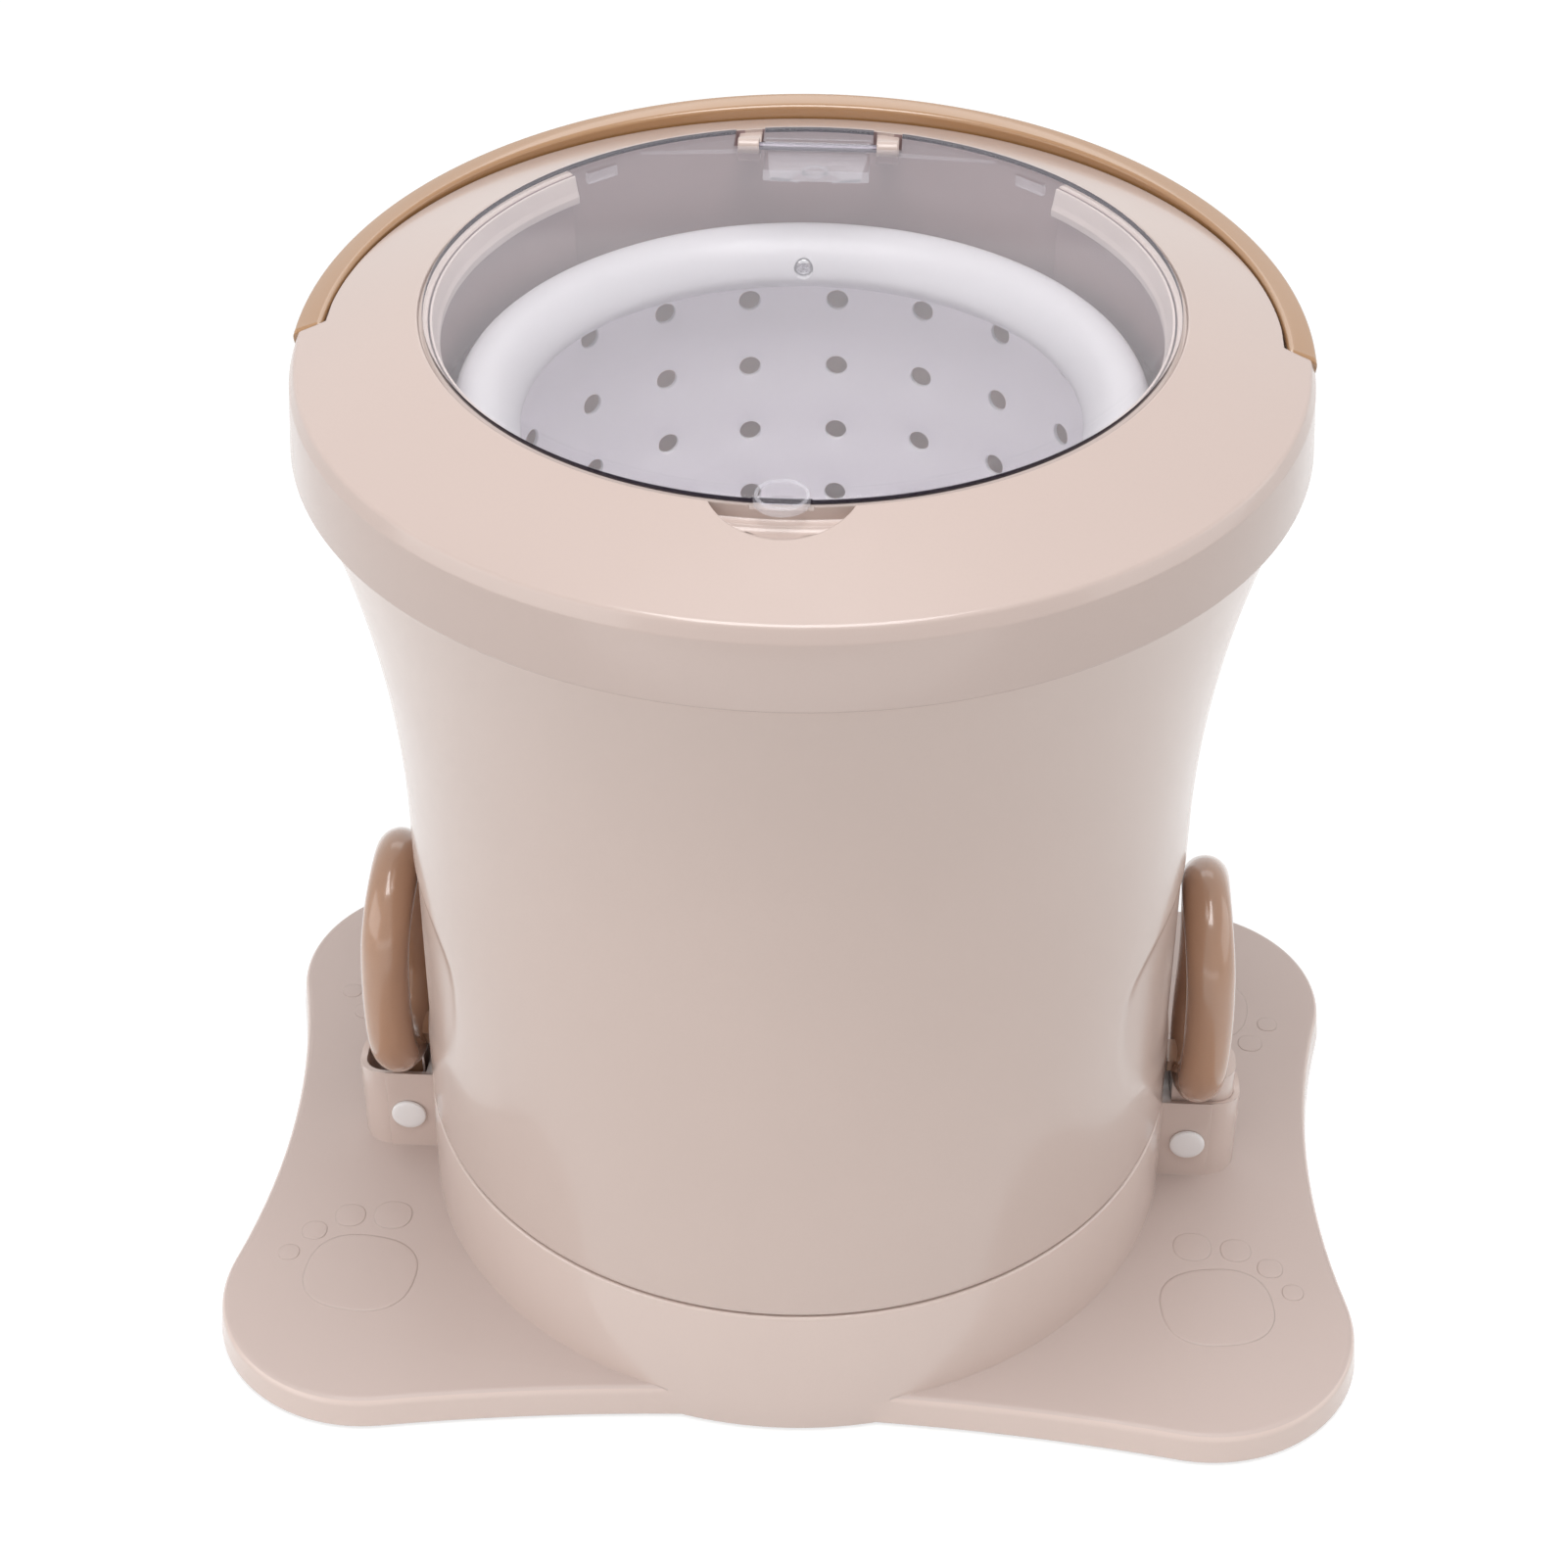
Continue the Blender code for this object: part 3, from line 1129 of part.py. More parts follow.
def make_handle(look_handle, look_pin):
    pivot = axis_empty("handle_axis", (0, HANDLE_PIVOT_Y, HANDLE_PIVOT_Z))
    tall = HANDLE_OUT_R
    half = []
    for k in range(HANDLE_END_STEPS):
        turn = math.radians(HANDLE_END_TURN * (1 - k / HANDLE_END_STEPS))
        along = HANDLE_PIVOT_Y - HANDLE_END_R * math.sin(turn)
        half.append(handle_section(along, HANDLE_END_R * math.cos(turn)))
    half.append(handle_section(HANDLE_PIVOT_Y, tall))
    start = math.asin(HANDLE_PIVOT_Y / HANDLE_OUT_R)
    count = HANDLE_STEPS // 2
    for k in range(1, count):
        angle = start + (math.pi / 2 - start) * k / count
        half.append(handle_section(HANDLE_OUT_R * math.sin(angle), tall))
    rear = handle_section(HANDLE_OUT_R, tall)
    other = [[(-x, y, z) for x, y, z in ring] for ring in reversed(half)]
    handle = place("carry_handle", lofted(half + [rear] + other), look_handle, pivot)
    for side, word in ((-1, "left"), (1, "right")):
        at = (HANDLE_PIVOT_Y, HANDLE_PIVOT_Z)
        low_x, high_x = sorted((side * (HANDLE_PIN_IN + TOUCH_GAP), side * HANDLE_PIN_OUT))
        place("handle_pin_" + word, bar_along("X", HANDLE_PIN_R, low_x, high_x, at, SMALL_SIDES), look_pin)
        low_x, high_x = sorted((side * HANDLE_PIN_IN, side * (HANDLE_PIN_OUT + RUN_GAP)))
        cut(handle, bar_along("X", HANDLE_PIN_R + RUN_GAP, low_x, high_x, at, SMALL_SIDES))
    return handle


# Lid

def make_lid(look_lid, look_pin):
    pivot = axis_empty("lid_axis", (0, LID_PIVOT_Y, LID_PIVOT_Z))
    under = LID_TOP_Z - LID_T
    steps = 4
    profile = [(0, LID_TOP_Z + LID_RISE)]
    for k in range(1, steps + 1):
        share = k / steps
        profile.append((LID_R * share, LID_TOP_Z + LID_RISE * (1 - share ** 2)))
    for k in range(steps, 0, -1):
        share = k / steps
        profile.append((LID_R * share, under + LID_RISE * (1 - share ** 2)))
    profile.append((0, under + LID_RISE))
    lid = place("lid", turned(profile, BIG_SIDES), look_lid, pivot)
    join(lid, disc(TAB_R, under, LID_TOP_Z + TOUCH_GAP, MID_SIDES, (0, -TAB_Y)))
    hook_low = under - HOOK_H
    join(lid, block((-HOOK_HALF_X, -HOOK_Y - HOOK_T, hook_low), (HOOK_HALF_X, -HOOK_Y, under + LID_T / 2)))
    rib_low = LID_PIVOT_Z - KNUCKLE_R - HINGE_RIB_H / 2
    rib = block((-KNUCKLE_HALF_X, HINGE_RIB_Y, rib_low), (KNUCKLE_HALF_X, LID_PIVOT_Y, LID_TOP_Z))
    join(lid, rib)
    at = (LID_PIVOT_Y, LID_PIVOT_Z)
    for angle in CLIP_ANGLES:
        clip = block((CLIP_R - CLIP_T, -CLIP_HALF, under - CLIP_H), (CLIP_R, CLIP_HALF, under + LID_T / 2))
        rotate(clip, angle, "Z")
        join(lid, clip)
    slot_half = HINGE_EAR_HALF_X + HINGE_SLOT_GAP
    slot_front = LID_PIVOT_Y - KNUCKLE_R - HINGE_SLOT_GAP
    for side in (-1, 1):
        low_x, high_x = sorted((side * (HINGE_EAR_X - slot_half), side * (HINGE_EAR_X + slot_half)))
        cut(lid, block((low_x, slot_front, under - OVERRUN), (high_x, LID_R + OVERRUN, LID_TOP_Z + OVERRUN)))
    join(lid, bar_along("X", KNUCKLE_R, -KNUCKLE_HALF_X, KNUCKLE_HALF_X, at, SMALL_SIDES))
    reach = KNUCKLE_HALF_X + OVERRUN
    cut(lid, bar_along("X", LID_PIN_R + RUN_GAP, -reach, reach, at, SMALL_SIDES))
    pin_reach = HINGE_EAR_X + HINGE_EAR_HALF_X / 2 - TOUCH_GAP
    place("lid_pin", bar_along("X", LID_PIN_R, -pin_reach, pin_reach, at, SMALL_SIDES), look_pin)
    return lid


# Basket

def basket_ring_points(bm, radius, height):
    """One vertex at each edge between two columns of holes."""
    ring = []
    for k in range(BASKET_COLUMNS):
        angle = math.radians(BASKET_TURN) + 2 * math.pi * (k + 1 / 2) / BASKET_COLUMNS
        ring.append(bm.verts.new((radius * math.cos(angle), radius * math.sin(angle), height)))
    return ring


def strip(bm, lower, upper):
    for k in range(len(lower)):
        after = (k + 1) % len(lower)
        bm.faces.new((lower[k], lower[after], upper[after], upper[k]))


def hole_points(bm, left, right, height):
    """Corners of one hole on the flat facet between two columns' edges."""
    middle = (left.co + right.co) / 2
    across = (right.co - left.co).normalized()
    points = []
    for k in range(HOLE_SIDES):
        angle = 2 * math.pi * (k + 1 / 2) / HOLE_SIDES
        spot = middle + across * (HOLE_R * math.cos(angle))
        points.append(bm.verts.new((spot.x, spot.y, height + HOLE_R * math.sin(angle))))
    return points


def punched_wall(bm, lower, upper, height):
    """Wall between two rings with one hole in each column. Returns the holes' corners."""
    holes = []
    half = HOLE_SIDES // 2
    for k in range(len(lower)):
        after = (k + 1) % len(lower)
        corners = hole_points(bm, lower[k], lower[after], height)
        first = corners[0]
        opposite = corners[half]
        bm.faces.new([lower[after], upper[after], upper[k]] + corners[half::-1][:half] + [first])
        bm.faces.new([upper[k], lower[k], lower[after], first] + corners[:half - 1:-1])
        holes.append(corners)
    return holes


def make_basket(look):
    bm = bmesh.new()
    out_r = (BASKET_IN_R + BASKET_WALL) / math.cos(math.pi / BASKET_COLUMNS)
    in_r = BASKET_IN_R / math.cos(math.pi / BASKET_COLUMNS)
    outer = [basket_ring_points(bm, out_r, BASKET_TOP_Z)]
    inner = [basket_ring_points(bm, in_r, BASKET_TOP_Z)]
    strip(bm, outer[0], inner[0])
    for row in range(HOLE_ROWS):
        height = HOLE_TOP_Z - HOLE_PITCH_Z * row
        low = height - HOLE_PITCH_Z / 2
        if row == 0:
            top = height + HOLE_R + BASKET_WALL / 2
            outer.append(basket_ring_points(bm, out_r, top))
            inner.append(basket_ring_points(bm, in_r, top))
            strip(bm, outer[-1], outer[-2])
            strip(bm, inner[-1], inner[-2])
        outer.append(basket_ring_points(bm, out_r, low))
        inner.append(basket_ring_points(bm, in_r, low))
        outside = punched_wall(bm, outer[-1], outer[-2], height)
        inside = punched_wall(bm, inner[-1], inner[-2], height)
        for near, far in zip(outside, inside):
            strip(bm, near, far)
    floor_low = BASKET_FLOOR_Z - BASKET_WALL
    hole_r = CONE_LOW_R - CONE_SPIGOT_INSET
    outside_path = [
        (out_r, floor_low + BASKET_WALL * 3),
        (out_r - BASKET_WALL * 2, floor_low),
        (hole_r, floor_low),
    ]
    inside_path = [
        (in_r, BASKET_FLOOR_Z + BASKET_WALL * 3),
        (in_r - BASKET_WALL * 2, BASKET_FLOOR_Z),
        (hole_r, BASKET_FLOOR_Z),
    ]
    for path, wall in ((outside_path, outer), (inside_path, inner)):
        for radius, height in path:
            wall.append(basket_ring_points(bm, radius, height))
            strip(bm, wall[-1], wall[-2])
    strip(bm, outer[-1], inner[-1])
    return place("basket", bm, look)


def make_basket_column(look):
    """Hollow cone over the rod's end, with a spigot that sits in the drum's floor."""
    spigot_r = CONE_LOW_R - CONE_SPIGOT_INSET - TOUCH_GAP
    low = BASKET_FLOOR_Z - BASKET_WALL
    seat = BASKET_FLOOR_Z + TOUCH_GAP
    dome = CONE_DOME_SHARE
    profile = [
        (0, CONE_TOP_Z - CONE_WALL),
        (CONE_TOP_R - CONE_WALL, CONE_TOP_Z - CONE_WALL),
        (CONE_LOW_R - CONE_WALL, low),
        (spigot_r, low),
        (spigot_r, seat),
        (CONE_LOW_R, seat),
        (CONE_TOP_R, CONE_TOP_Z),
        (CONE_TOP_R * dome, CONE_TOP_Z + CONE_DOME_H * dome),
        (0, CONE_TOP_Z + CONE_DOME_H * dome),
    ]
    start = BASKET_TURN + 180 / BASKET_COLUMNS
    return place("basket_column", turned(profile, BASKET_COLUMNS, start), look)


def make_balance_ring(look_ring, look_screw):
    low = BASKET_TOP_Z + TOUCH_GAP
    profile = [(BASKET_IN_R, low)]
    for inward, upward in RING_SECTION_SHARES:
        radius = RING_OUT_R + (RING_IN_R - RING_OUT_R) * inward
        profile.append((radius, low + (RING_TOP_Z - low) * upward))
    ring = place("basket_ring", turned(profile, BIG_SIDES), look_ring)
    seat = RING_IN_R + RING_SCREW_INSET + SCREW_HEAD_H
    for k in range(RING_SCREWS):
        angle = RING_SCREW_ANGLE + 360 * k / RING_SCREWS
        recess_r = SCREW_HEAD_R + TOUCH_GAP
        cut(ring, radial_bar(recess_r, RING_IN_R - OVERRUN, seat, RING_SCREW_Z, angle, SMALL_SIDES))
        shank_end = seat + RING_SCREW_DEPTH + TOUCH_GAP
        shank_r = SCREW_R + TOUCH_GAP
        cut(ring, radial_bar(shank_r, RING_IN_R, shank_end, RING_SCREW_Z, angle, TINY_SIDES, start=0))
        name = "ring_screw_" + str(k + 1)
        seat_r = seat - TOUCH_GAP
        radial_screw(name, seat_r, RING_SCREW_Z, angle, SCREW_HEAD_R, SCREW_R, RING_SCREW_DEPTH, look_screw)


# Hub, bearing, clutch and drive nut

def drum_top():
    return BEARING_TOP_Z - BEARING_H - TOUCH_GAP


def make_hub(look_steel):
    flange_low = BEARING_TOP_Z + 2 * TOUCH_GAP
    flange_top = BASKET_FLOOR_Z - BASKET_WALL - TOUCH_GAP
    profile = [
        (JOURNAL_BORE_R, drum_top()),
        (JOURNAL_R - TOUCH_GAP, drum_top()),
        (JOURNAL_R - TOUCH_GAP, flange_low),
        (JOURNAL_R, flange_top - HUB_FLANGE_T),
        (HUB_FLANGE_R, flange_top - HUB_FLANGE_T),
        (HUB_FLANGE_R, flange_top),
        (JOURNAL_BORE_R, flange_top),
    ]
    place("hub_shaft", turned(profile, MID_SIDES), look_steel)
    top = drum_top() - TOUCH_GAP
    drum = [
        (DRUM_IN_R, top - DRUM_H),
        (DRUM_OUT_R, top - DRUM_H),
        (DRUM_OUT_R, top),
        (JOURNAL_BORE_R, top),
        (JOURNAL_BORE_R, top - RACE_WALL / 2),
        (DRUM_IN_R, top - RACE_WALL / 2),
    ]
    place("clutch_drum", turned(drum, MID_SIDES), look_steel)


def make_bearing(look_steel, look_cage):
    low = BEARING_TOP_Z - BEARING_H
    track = (JOURNAL_R + BEARING_OUT_R) / 2
    outer_in = BEARING_OUT_R - RACE_WALL
    inner_out = JOURNAL_R + RACE_WALL
    outer = washer(outer_in, BEARING_OUT_R - TOUCH_GAP, low, BEARING_TOP_Z, MID_SIDES)
    place("bearing_outer_race", outer, look_steel)
    inner = washer(JOURNAL_R, inner_out, low, BEARING_TOP_Z, MID_SIDES)
    place("bearing_inner_race", inner, look_steel)
    middle = (low + BEARING_TOP_Z) / 2
    half = BALL_R / 3
    band = washer(track - half, track + half, middle - half, middle + half, MID_SIDES)
    cage = place("ball_cage", band, look_cage)
    for x, y in ring_places(BALLS, track):
        ball = bmesh.new()
        radius = min(BALL_R, (outer_in - inner_out) / 2 - RUN_GAP)
        bmesh.ops.create_icosphere(ball, subdivisions=1, radius=radius)
        move(ball, (x, y, middle))
        join(cage, ball)
    return cage


def make_housing(look_housing, look_bush, look_seal, look_screw):
    flange_top = FLOOR_Z - TOUCH_GAP
    flange_low = flange_top - HOUSING_FLANGE_T
    bore_r = bush_out_r() + TOUCH_GAP
    cavity_z = HOUSING_LOW_Z + HOUSING_FLOOR_T
    race_z = BEARING_TOP_Z - BEARING_H - TOUCH_GAP
    profile = [
        (bore_r, HOUSING_LOW_Z),
        (HOUSING_R, HOUSING_LOW_Z),
        (HOUSING_R, flange_low),
        (HOUSING_FLANGE_R, flange_low),
        (HOUSING_FLANGE_R, flange_top),
        (HOUSING_R, flange_top),
        (HOUSING_R, BEARING_TOP_Z),
        (BEARING_OUT_R, BEARING_TOP_Z),
        (BEARING_OUT_R, race_z),
        (DRUM_OUT_R + BUSH_WALL, race_z),
        (DRUM_OUT_R + BUSH_WALL, cavity_z),
        (bore_r, cavity_z),
    ]
    housing = place("bearing_housing", turned(profile, MID_SIDES), look_housing)
    for k, (x, y) in enumerate(ring_places(HOUSING_SCREWS, HOUSING_SCREW_AT)):
        cut(housing, disc(SCREW_R + TOUCH_GAP, flange_low - OVERRUN, FLOOR_Z, TINY_SIDES, (x, y)))
        depth = HOUSING_FLANGE_T + BARREL_WALL + 2 * TOUCH_GAP
        screw("housing_screw_" + str(k + 1), (x, y), flange_low - TOUCH_GAP, depth, look_screw)
    bush = [
        (bush_in_r(), HOUSING_LOW_Z - BUSH_WALL),
        (bush_out_r() + BUSH_WALL, HOUSING_LOW_Z - BUSH_WALL),
        (bush_out_r() + BUSH_WALL, HOUSING_LOW_Z - TOUCH_GAP),
        (bush_out_r(), HOUSING_LOW_Z - TOUCH_GAP),
        (bush_out_r(), cavity_z),
        (bush_in_r(), cavity_z),
    ]
    place("guide_bush", turned(bush, MID_SIDES), look_bush)
    seal_low = BEARING_TOP_Z + TOUCH_GAP
    seal_in = BEARING_OUT_R - RACE_WALL
    place("shaft_seal", washer(seal_in, HOUSING_R, seal_low, seal_low + SEAL_T, MID_SIDES), look_seal)


def bush_in_r():
    return ROD_SIDE / math.sqrt(2) + RUN_GAP


def bush_out_r():
    return bush_in_r() + BUSH_WALL


def nut_low():
    return HOUSING_LOW_Z + HOUSING_FLOOR_T + 2 * TOUCH_GAP


def make_drive_nut(look_nut, look_roller):
    low = nut_low()
    high = low + NUT_BODY_H
    nut = place("drive_nut", disc(NUT_BODY_R, low, high, MID_SIDES), look_nut)
    hole = twisted_square(ROD_SIDE + 2 * RUN_GAP, low - OVERRUN, high + OVERRUN, NUT_STEPS, ROD_LEAD, True)
    cut(nut, hole)
    for k, (x, y) in enumerate(ring_places(ROLLERS, roller_at(), 30.0)):
        cut(nut, disc(ROLLER_R + TOUCH_GAP, low + TOUCH_GAP * 2, high + OVERRUN, SMALL_SIDES, (x, y)))
        name = "clutch_roller_" + str(k + 1)
        place(name, disc(ROLLER_R, low + TOUCH_GAP * 3, high - TOUCH_GAP, SMALL_SIDES, (x, y)), look_roller)


def roller_at():
    return DRUM_IN_R - ROLLER_R - RUN_GAP


def collar_screw_seat():
    """Distance from the axis to the middle of a facet inside the barrel's top lip."""
    return (barrel_radius(BARREL_TOP_Z) - BARREL_WALL) * math.cos(math.pi / BIG_SIDES)


def collar_screw_angles():
    return [360 * (facet + 1 / 2) / BIG_SIDES for facet in COLLAR_SCREW_FACETS]


def drill_collar_screws(target):
    seat = collar_screw_seat()
    for angle in collar_screw_angles():
        far = seat + BARREL_WALL + COLLAR_SCREW_GRIP + 2 * TOUCH_GAP
        hole_r = COLLAR_SCREW_R + TOUCH_GAP
        cut(target, radial_bar(hole_r, seat - OVERRUN, far, COLLAR_SCREW_Z, angle, TINY_SIDES))


def make_collar_screws(look):
    seat = collar_screw_seat() - TOUCH_GAP
    depth = BARREL_WALL + COLLAR_SCREW_GRIP + 2 * TOUCH_GAP
    for k, angle in enumerate(collar_screw_angles()):
        name = "collar_screw_" + str(k + 1)
        radial_screw(name, seat, COLLAR_SCREW_Z, angle, COLLAR_SCREW_HEAD_R, COLLAR_SCREW_R, depth, look)


def main():
    remove_everything()
    shell = material("shell_beige", BEIGE, 0.25)
    top = material("collar_beige", BEIGE_TOP, 0.30)
    plate = material("plate_beige", BEIGE_PLATE, 0.45)
    brown = material("ring_brown", BROWN, 0.25)
    tan = material("handle_tan", TAN, 0.35)
    white = material("white_plastic", WHITE, 0.35)
    clear = material("clear_plastic", CLEAR, 0.05, alpha=0.35)
    steel = material("steel", STEEL, 0.30, 1.0)
    rubber = material("dark_rubber", DARK, 0.80)
    nylon = material("nylon", NYLON, 0.50)
    make_base(plate)
    make_underside(plate, rubber, steel)
    make_rod(steel, steel)
    make_landing_ring(rubber)
    for side, word in ((-1, "left"), (1, "right")):
        make_latch(side, word, brown, steel, white, steel)
    make_barrel(shell)
    make_drain_plug(rubber)
    make_collar(top)
    make_collar_screws(steel)
    make_splash_rim(top)
    make_handle(tan, steel)
    make_lid(clear, steel)
    make_basket(white)
    make_basket_column(white)
    make_balance_ring(white, steel)
    make_hub(steel)
    make_bearing(steel, nylon)
    make_housing(nylon, nylon, rubber, steel)
    make_drive_nut(nylon, steel)


main()
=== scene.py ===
"""Looks of the manual spin dryer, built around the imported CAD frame. Metres, +Z up, front towards -Y."""

import math

import bmesh
import bpy
import numpy as np
from mathutils import Matrix, Vector

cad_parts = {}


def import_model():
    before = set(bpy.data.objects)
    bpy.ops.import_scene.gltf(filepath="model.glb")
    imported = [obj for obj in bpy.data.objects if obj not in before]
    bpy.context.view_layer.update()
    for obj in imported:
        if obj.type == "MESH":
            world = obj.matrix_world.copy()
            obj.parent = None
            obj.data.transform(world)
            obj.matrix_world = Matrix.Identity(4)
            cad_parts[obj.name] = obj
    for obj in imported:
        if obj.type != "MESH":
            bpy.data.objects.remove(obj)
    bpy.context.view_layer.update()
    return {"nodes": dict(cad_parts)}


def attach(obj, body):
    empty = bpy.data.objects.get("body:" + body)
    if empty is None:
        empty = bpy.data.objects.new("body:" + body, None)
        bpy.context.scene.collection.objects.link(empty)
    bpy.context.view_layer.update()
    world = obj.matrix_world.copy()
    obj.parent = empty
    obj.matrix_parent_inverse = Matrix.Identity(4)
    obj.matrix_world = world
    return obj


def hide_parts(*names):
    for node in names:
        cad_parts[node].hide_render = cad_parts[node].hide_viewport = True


MM = 0.001

SHARP_ANGLE = 32
SIDES = (-1, 1)

# Camera: metres, degrees, and millimetres for the lens
CAMERA_AT = (0.0431, -0.9147, 0.8840)
CAMERA_TURN = 3.05
CAMERA_PITCH = 37.385
CAMERA_ROLL = 0.11
LENS = 74.2
SENSOR = 36.0

# Sizes in millimetres and turns in degrees, most of them as in the CAD source
BARREL_R = 138.6
SKIRT_FOOT_R = 139.2
SEAM_Z = 57.2
FOOT_Z = 1.2
PLATE_TOP_Z = 13.2
PAD_HEIGHT = 0.22
POCKET_TOP_Z = 56.0
FLARE_Z = 185.0
FLARE_R = 479.4
BARREL_TOP_Z = 336.3
BARREL_WALL = 3.0
RECESS_Z = 138.0
RECESS_DEPTH = 1.0
PIVOT_X = 148.7
PIVOT_Z = 30.0
RING_WIRE_R = 8.8
RING_HALF_Y = 23.0
RING_LOW_Z = 81.0
RING_HIGH_Z = 118.0
WELL_R = 119.5
WELL_LOW_Z = 337.6
SEAT_R = 122.6
SEAT_Z = 377.9
SEAT_RIM_Z = 379.7
COLLAR_TOP_R = 163.2
COLLAR_TOP_Z = 364.5
GUTTER_R = 154.6
GUTTER_Z = 353.0
CUTTER_TOP_Z = 392.0
HANDLE_AXIS = (4.0, 362.2)
HANDLE_IN_R = 155.6
HANDLE_OUT_R = 165.2
LID_AXIS = (107.0, 380.0)
LID_R = 121.3
BASKET_R = 112.0
BASKET_WALL = 2.0
BASKET_COLUMNS = 22
BASKET_TURN = 4.4
CELL_STEPS = 6
HOLE_R = 3.9
HOLE_ROWS = 4
HOLE_TOP_Z = 319.0
HOLE_PITCH = 27.0
RIM_SCREW_Z = 340.0
RIM_SCREW_TURNS = (92.5, 212.5, 332.5)
TURNED_SIDES = 240


# Mesh helpers. All of them take millimetres.

def object_from(name, bm, looks, body=None, angle=SHARP_ANGLE):
    """Turn a bmesh in millimetres into a smooth-shaded piece that rides on a body."""
    bmesh.ops.recalc_face_normals(bm, faces=bm.faces)
    bmesh.ops.scale(bm, vec=(MM, MM, MM), verts=bm.verts)
    mesh = bpy.data.meshes.new(name)
    bm.to_mesh(mesh)
    bm.free()
    mesh.shade_smooth()
    mesh.set_sharp_from_angle(angle=math.radians(angle))
    made = bpy.data.objects.new(name, mesh)
    bpy.context.scene.collection.objects.link(made)
    for look in looks:
        mesh.materials.append(look)
    if body:
        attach(made, body)
    return made


def rounded(corners, steps=6):
    """Polygon of (x, y, radius) corners with each corner replaced by an arc."""
    out = []
    for k, (x, y, radius) in enumerate(corners):
        here = Vector((x, y))
        a = Vector(corners[k - 1][:2]) - here
        b = Vector(corners[(k + 1) % len(corners)][:2]) - here
        if radius <= 0 or a.length < 1e-6 or b.length < 1e-6:
            out.append((x, y))
            continue
        half = math.tan(a.angle(b) / 2)
        back = min(radius / half, 0.49 * a.length, 0.49 * b.length)
        reach = back * half / math.sin(a.angle(b) / 2)
        a.normalize()
        b.normalize()
        centre = here + (a + b).normalized() * reach
        first = here + a * back - centre
        last = here + b * back - centre
        turn = first.angle_signed(last)
        for j in range(steps + 1):
            spot = centre + Matrix.Rotation(-turn * j / steps, 2) @ first
            out.append((spot.x, spot.y))
    return out


def turned(profile, sides=TURNED_SIDES, start=0.0, sweep=360.0):
    """Spin a closed profile of (radius, height) about Z."""
    bm = bmesh.new()
    whole = sweep >= 360.0
    rows = sides if whole else sides + 1
    grid = []
    for k in range(rows):
        angle = math.radians(start + sweep * k / sides)
        c, s = math.cos(angle), math.sin(angle)
        grid.append([bm.verts.new((r * c, r * s, z)) for r, z in profile])
    count = len(profile)
    for k in range(sides):
        near, far = grid[k], grid[(k + 1) % rows]
        for j in range(count):
            after = (j + 1) % count
            if profile[j][0] < 1e-6 and profile[after][0] < 1e-6:
                continue
            bm.faces.new((near[j], far[j], far[after], near[after]))
    if not whole:
        bm.faces.new(grid[0])
        bm.faces.new(grid[-1])
    if any(r < 1e-6 for r, z in profile):
        bmesh.ops.remove_doubles(bm, verts=bm.verts, dist=1e-4)
        flat = [f for f in bm.faces if f.calc_area() < 1e-9]
        bmesh.ops.delete(bm, geom=flat, context="FACES")
    return bm


def bridge(bm, first, second):
    """Ring of four-sided faces between two closed rows of vertices."""
    for k in range(len(first)):
        after = (k + 1) % len(first)
        bm.faces.new((first[k], first[after], second[after], second[k]))


def lofted(rings, closed=False):
    """Skin over rings of points, capped at both ends or joined end to end."""
    bm = bmesh.new()
    made = [[bm.verts.new(point) for point in ring] for ring in rings]
    for lower, upper in zip(made, made[1:]):
        bridge(bm, lower, upper)
    if closed:
        bridge(bm, made[-1], made[0])
    else:
        bm.faces.new(made[0][::-1])
        bm.faces.new(made[-1])
    return bm


def at_height(outline, z):
    return [(x, y, z) for x, y in outline]


def arc(x, y, radius, start, finish, steps):
    """Points of an arc, both ends included."""
    angles = [start + (finish - start) * k / steps for k in range(steps + 1)]
    return [(x + radius * math.cos(angle), y + radius * math.sin(angle)) for angle in angles]


def prism(outline, low, high, edge=0.0, steps=4):
    """Upright prism whose top edge is rounded by edge."""
    rings = [at_height(outline, low)]
    if edge <= 0:
        rings.append(at_height(outline, high))
    else:
        for k in range(steps + 1):
            angle = math.pi / 2 * k / steps
            inset = inset_outline(outline, edge * (1 - math.cos(angle)))
            rings.append(at_height(inset, high - edge + edge * math.sin(angle)))
    return lofted(rings)


def inset_outline(outline, inset):
    """Each point moved inwards along the mean normal of its two edges."""
    points = np.array(outline, float)
    after = np.roll(points, -1, 0)
    ahead = after - points
    behind = points - np.roll(points, 1, 0)
    doubled_area = np.sum(points[:, 0] * after[:, 1] - after[:, 0] * points[:, 1])
    sign = 1.0 if doubled_area > 0 else -1.0

    def normal(edges):
        length = np.linalg.norm(edges, axis=1, keepdims=True)
        edges = edges / np.maximum(length, 1e-9)
        return np.stack([-edges[:, 1], edges[:, 0]], 1) * sign

    mean = normal(ahead) + normal(behind)
    mean = mean / np.maximum(np.linalg.norm(mean, axis=1, keepdims=True), 1e-9)
    half = np.clip(np.sum(mean * normal(ahead), axis=1, keepdims=True), 0.35, 1.0)
    return [tuple(point) for point in points + mean * inset / half]


def block(low, high, edge=0.0, steps=3):
    """Box with all its edges rounded."""
    bm = bmesh.new()
    bmesh.ops.create_cube(bm, size=1)
    size = Vector(high) - Vector(low)
    bmesh.ops.scale(bm, verts=bm.verts, vec=size)
    bmesh.ops.translate(bm, verts=bm.verts, vec=(Vector(high) + Vector(low)) / 2)
    if edge > 0:
        bmesh.ops.bevel(bm, geom=bm.edges[:], offset=edge, segments=steps, profile=0.5, affect="EDGES")
    return bm


def span(side, near, far):
    """Both ends of a stretch in x on the left (-1) or right (1) side, the lower one first."""
    return sorted((side * near, side * far))


